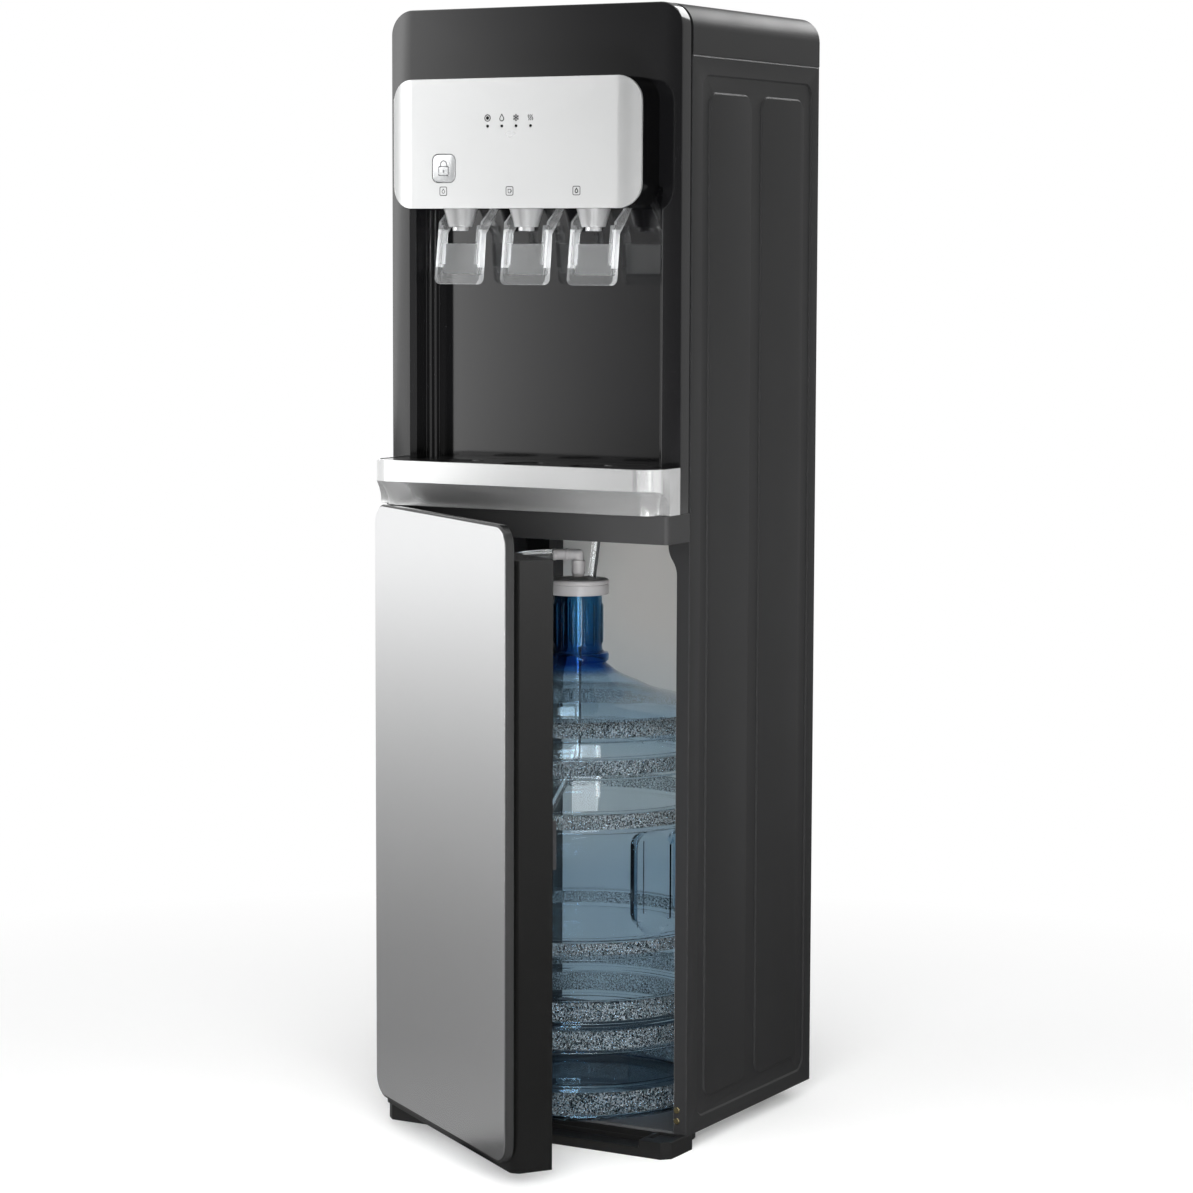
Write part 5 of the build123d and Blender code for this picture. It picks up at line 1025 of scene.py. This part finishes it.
# a pale floor that keeps the soft shadow near the cooler and is lost in white further off;
# in gloss and metal it is darkest close by, pale far off, and dim away from the left
stage = {
    "size": 14.0, "color": (0.86, 0.86, 0.86, 1), "roughness": 0.6, "lift": 0.16, "near": 0.38, "far": 1.25,
    "mirrorReach": 7.0,
    "mirrorByDistance": ((0.0, 0.28), (0.03, 0.24), (0.07, 0.2), (0.14, 0.215), (0.25, 0.32), (0.42, 0.5),
                         (0.7, 0.86), (1.0, 1.25)),
    "mirrorByBearing": ((0.0, 1.0), (0.15, 1.0), (0.22, 0.8), (0.262, 0.3), (0.3, 0.2), (0.38, 0.15),
                        (0.5, 0.5), (1.0, 0.55)),
}
bm = bmesh.new()
bmesh.ops.create_grid(bm, x_segments=2, y_segments=2, size=stage["size"] / 2)
floorMesh = bpy.data.meshes.new("floor")
bm.to_mesh(floorMesh)
bm.free()
newObject("floor", floorMesh)
floorMaterial, tree, pale = newMaterial("paleFloor")
setInputs(pale, {"Base Color": stage["color"], "Roughness": stage["roughness"]})
coords, place = objectPlace(tree)
path = tree.nodes.new("ShaderNodeLightPath")
seen = path.outputs["Is Camera Ray"]
distance = tree.nodes.new("ShaderNodeVectorMath")
distance.operation = "LENGTH"
tree.links.new(coords.outputs["Object"], distance.inputs[0])
away = distance.outputs["Value"]
pastNear = mathNode(tree, "SUBTRACT", away, stage["near"])
farShare = mathNode(tree, "DIVIDE", pastNear, stage["far"] - stage["near"], clamp=True)
lit = tree.nodes.new("ShaderNodeAddShader")
tree.links.new(pale.outputs[0], lit.inputs[0])
tree.links.new(glowShader(tree, product(tree, seen, stage["lift"])), lit.inputs[1])
distant = mixShader(tree, product(tree, farShare, seen), lit.outputs[0], glowShader(tree, 1.0))
reachShare = mathNode(tree, "DIVIDE", away, stage["mirrorReach"], clamp=True)
byDistance = rampNode(tree, reachShare, stage["mirrorByDistance"])
bearing = mathNode(tree, "MULTIPLY_ADD", mathNode(tree, "DIVIDE", place.outputs["X"], away), 0.5, 0.5)
byBearing = rampNode(tree, bearing, stage["mirrorByBearing"])
mirrored = glowShader(tree, product(tree, byDistance, byBearing))
glossy = mixShader(tree, path.outputs["Is Glossy Ray"], distant, mirrored)
tree.links.new(glossy, tree.nodes["Material Output"].inputs["Surface"])
floorMesh.materials.append(floorMaterial)

# white to the eye and, going back, through glass; in gloss bright to the left and dim to the right
studio = {
    "ambient": 0.42, "behindFrom": 0.25,
    "shine": ((0.0, 1.0), (0.2, 1.1), (0.2255, 2.2), (0.238, 0.95), (0.252, 0.46), (0.2615, 0.25),
              (0.29, 0.12), (0.36, 0.06), (0.42, 0.1), (0.5, 0.38), (0.9, 0.4), (1.0, 0.3)),
}
world = bpy.data.worlds.new("studio")
bpy.context.scene.world = world
world.use_nodes = True
tree = world.node_tree
coords = tree.nodes.new("ShaderNodeTexCoord")
split = tree.nodes.new("ShaderNodeSeparateXYZ")
tree.links.new(coords.outputs["Generated"], split.inputs[0])
path = tree.nodes.new("ShaderNodeLightPath")
inGloss = path.outputs["Is Glossy Ray"]
sideways = mathNode(tree, "MULTIPLY_ADD", split.outputs["X"], 0.5, 0.5)
shine = rampNode(tree, sideways, studio["shine"])
pastSide = mathNode(tree, "SUBTRACT", split.outputs["Y"], studio["behindFrom"], clamp=True)
behind = mathNode(tree, "MULTIPLY", pastSide, 2.0, clamp=True)
shine = mathNode(tree, "MAXIMUM", shine, product(tree, behind, studio["ambient"]))
onward = mathNode(tree, "MULTIPLY_ADD", split.outputs["Y"], 2.0, 1.0, clamp=True)
throughGlass = product(tree, path.outputs["Is Transmission Ray"], onward)
seen = mathNode(tree, "ADD", path.outputs["Is Camera Ray"], throughGlass, clamp=True)
plain = product(tree, mathNode(tree, "SUBTRACT", 1.0, inGloss), studio["ambient"])
ambient = mathNode(tree, "ADD", product(tree, inGloss, shine), plain)
backdrop = tree.nodes["Background"]
backdrop.inputs["Color"].default_value = (1, 1, 1, 1)
tree.links.new(mathNode(tree, "MAXIMUM", seen, ambient), backdrop.inputs["Strength"])

# each lamp's place, the point it is aimed at, its width and height in metres, and its watts
lamps = {
    "keyLeft": ((-2.75, -2.7, 1.45), (0, 0, 0.7), (1.3, 2.3), 23),
    "fillRight": ((2.6, -0.5, 1.5), (0, 0.1, 0.6), (2.0, 2.6), 7.5),
    "rearSoft": ((0.4, 3.0, 2.35), (0, 0.1, 0.9), (1.8, 0.9), 22),
    "topSoft": ((0.0, -0.4, 2.8), (0, 0, 0.6), (2.0, 2.0), 23),
    "bayLight": ((0.5, -0.85, 0.32), (0.0, 0.14, 0.25), (0.7, 0.4), 20),
    "bottleGlint": ((1.45, -1.3, 0.2), (0, 0.1, 0.25), (0.14, 0.36), 1.2),
}
for name, (place, aim, size, power) in lamps.items():
    data = bpy.data.lights.new(name, "AREA")
    data.shape = "RECTANGLE"
    data.size, data.size_y = size
    data.energy = power
    lamp = newObject(name, data)
    direction = Vector(aim) - Vector(place)
    lamp.rotation_euler = direction.to_track_quat("-Z", "Y").to_euler()
    lamp.location = place
    lamp.visible_camera = False
    lamp.visible_glossy = name != "bayLight"
    lamp.visible_diffuse = name != "bottleGlint"
print("stage and lights placed")
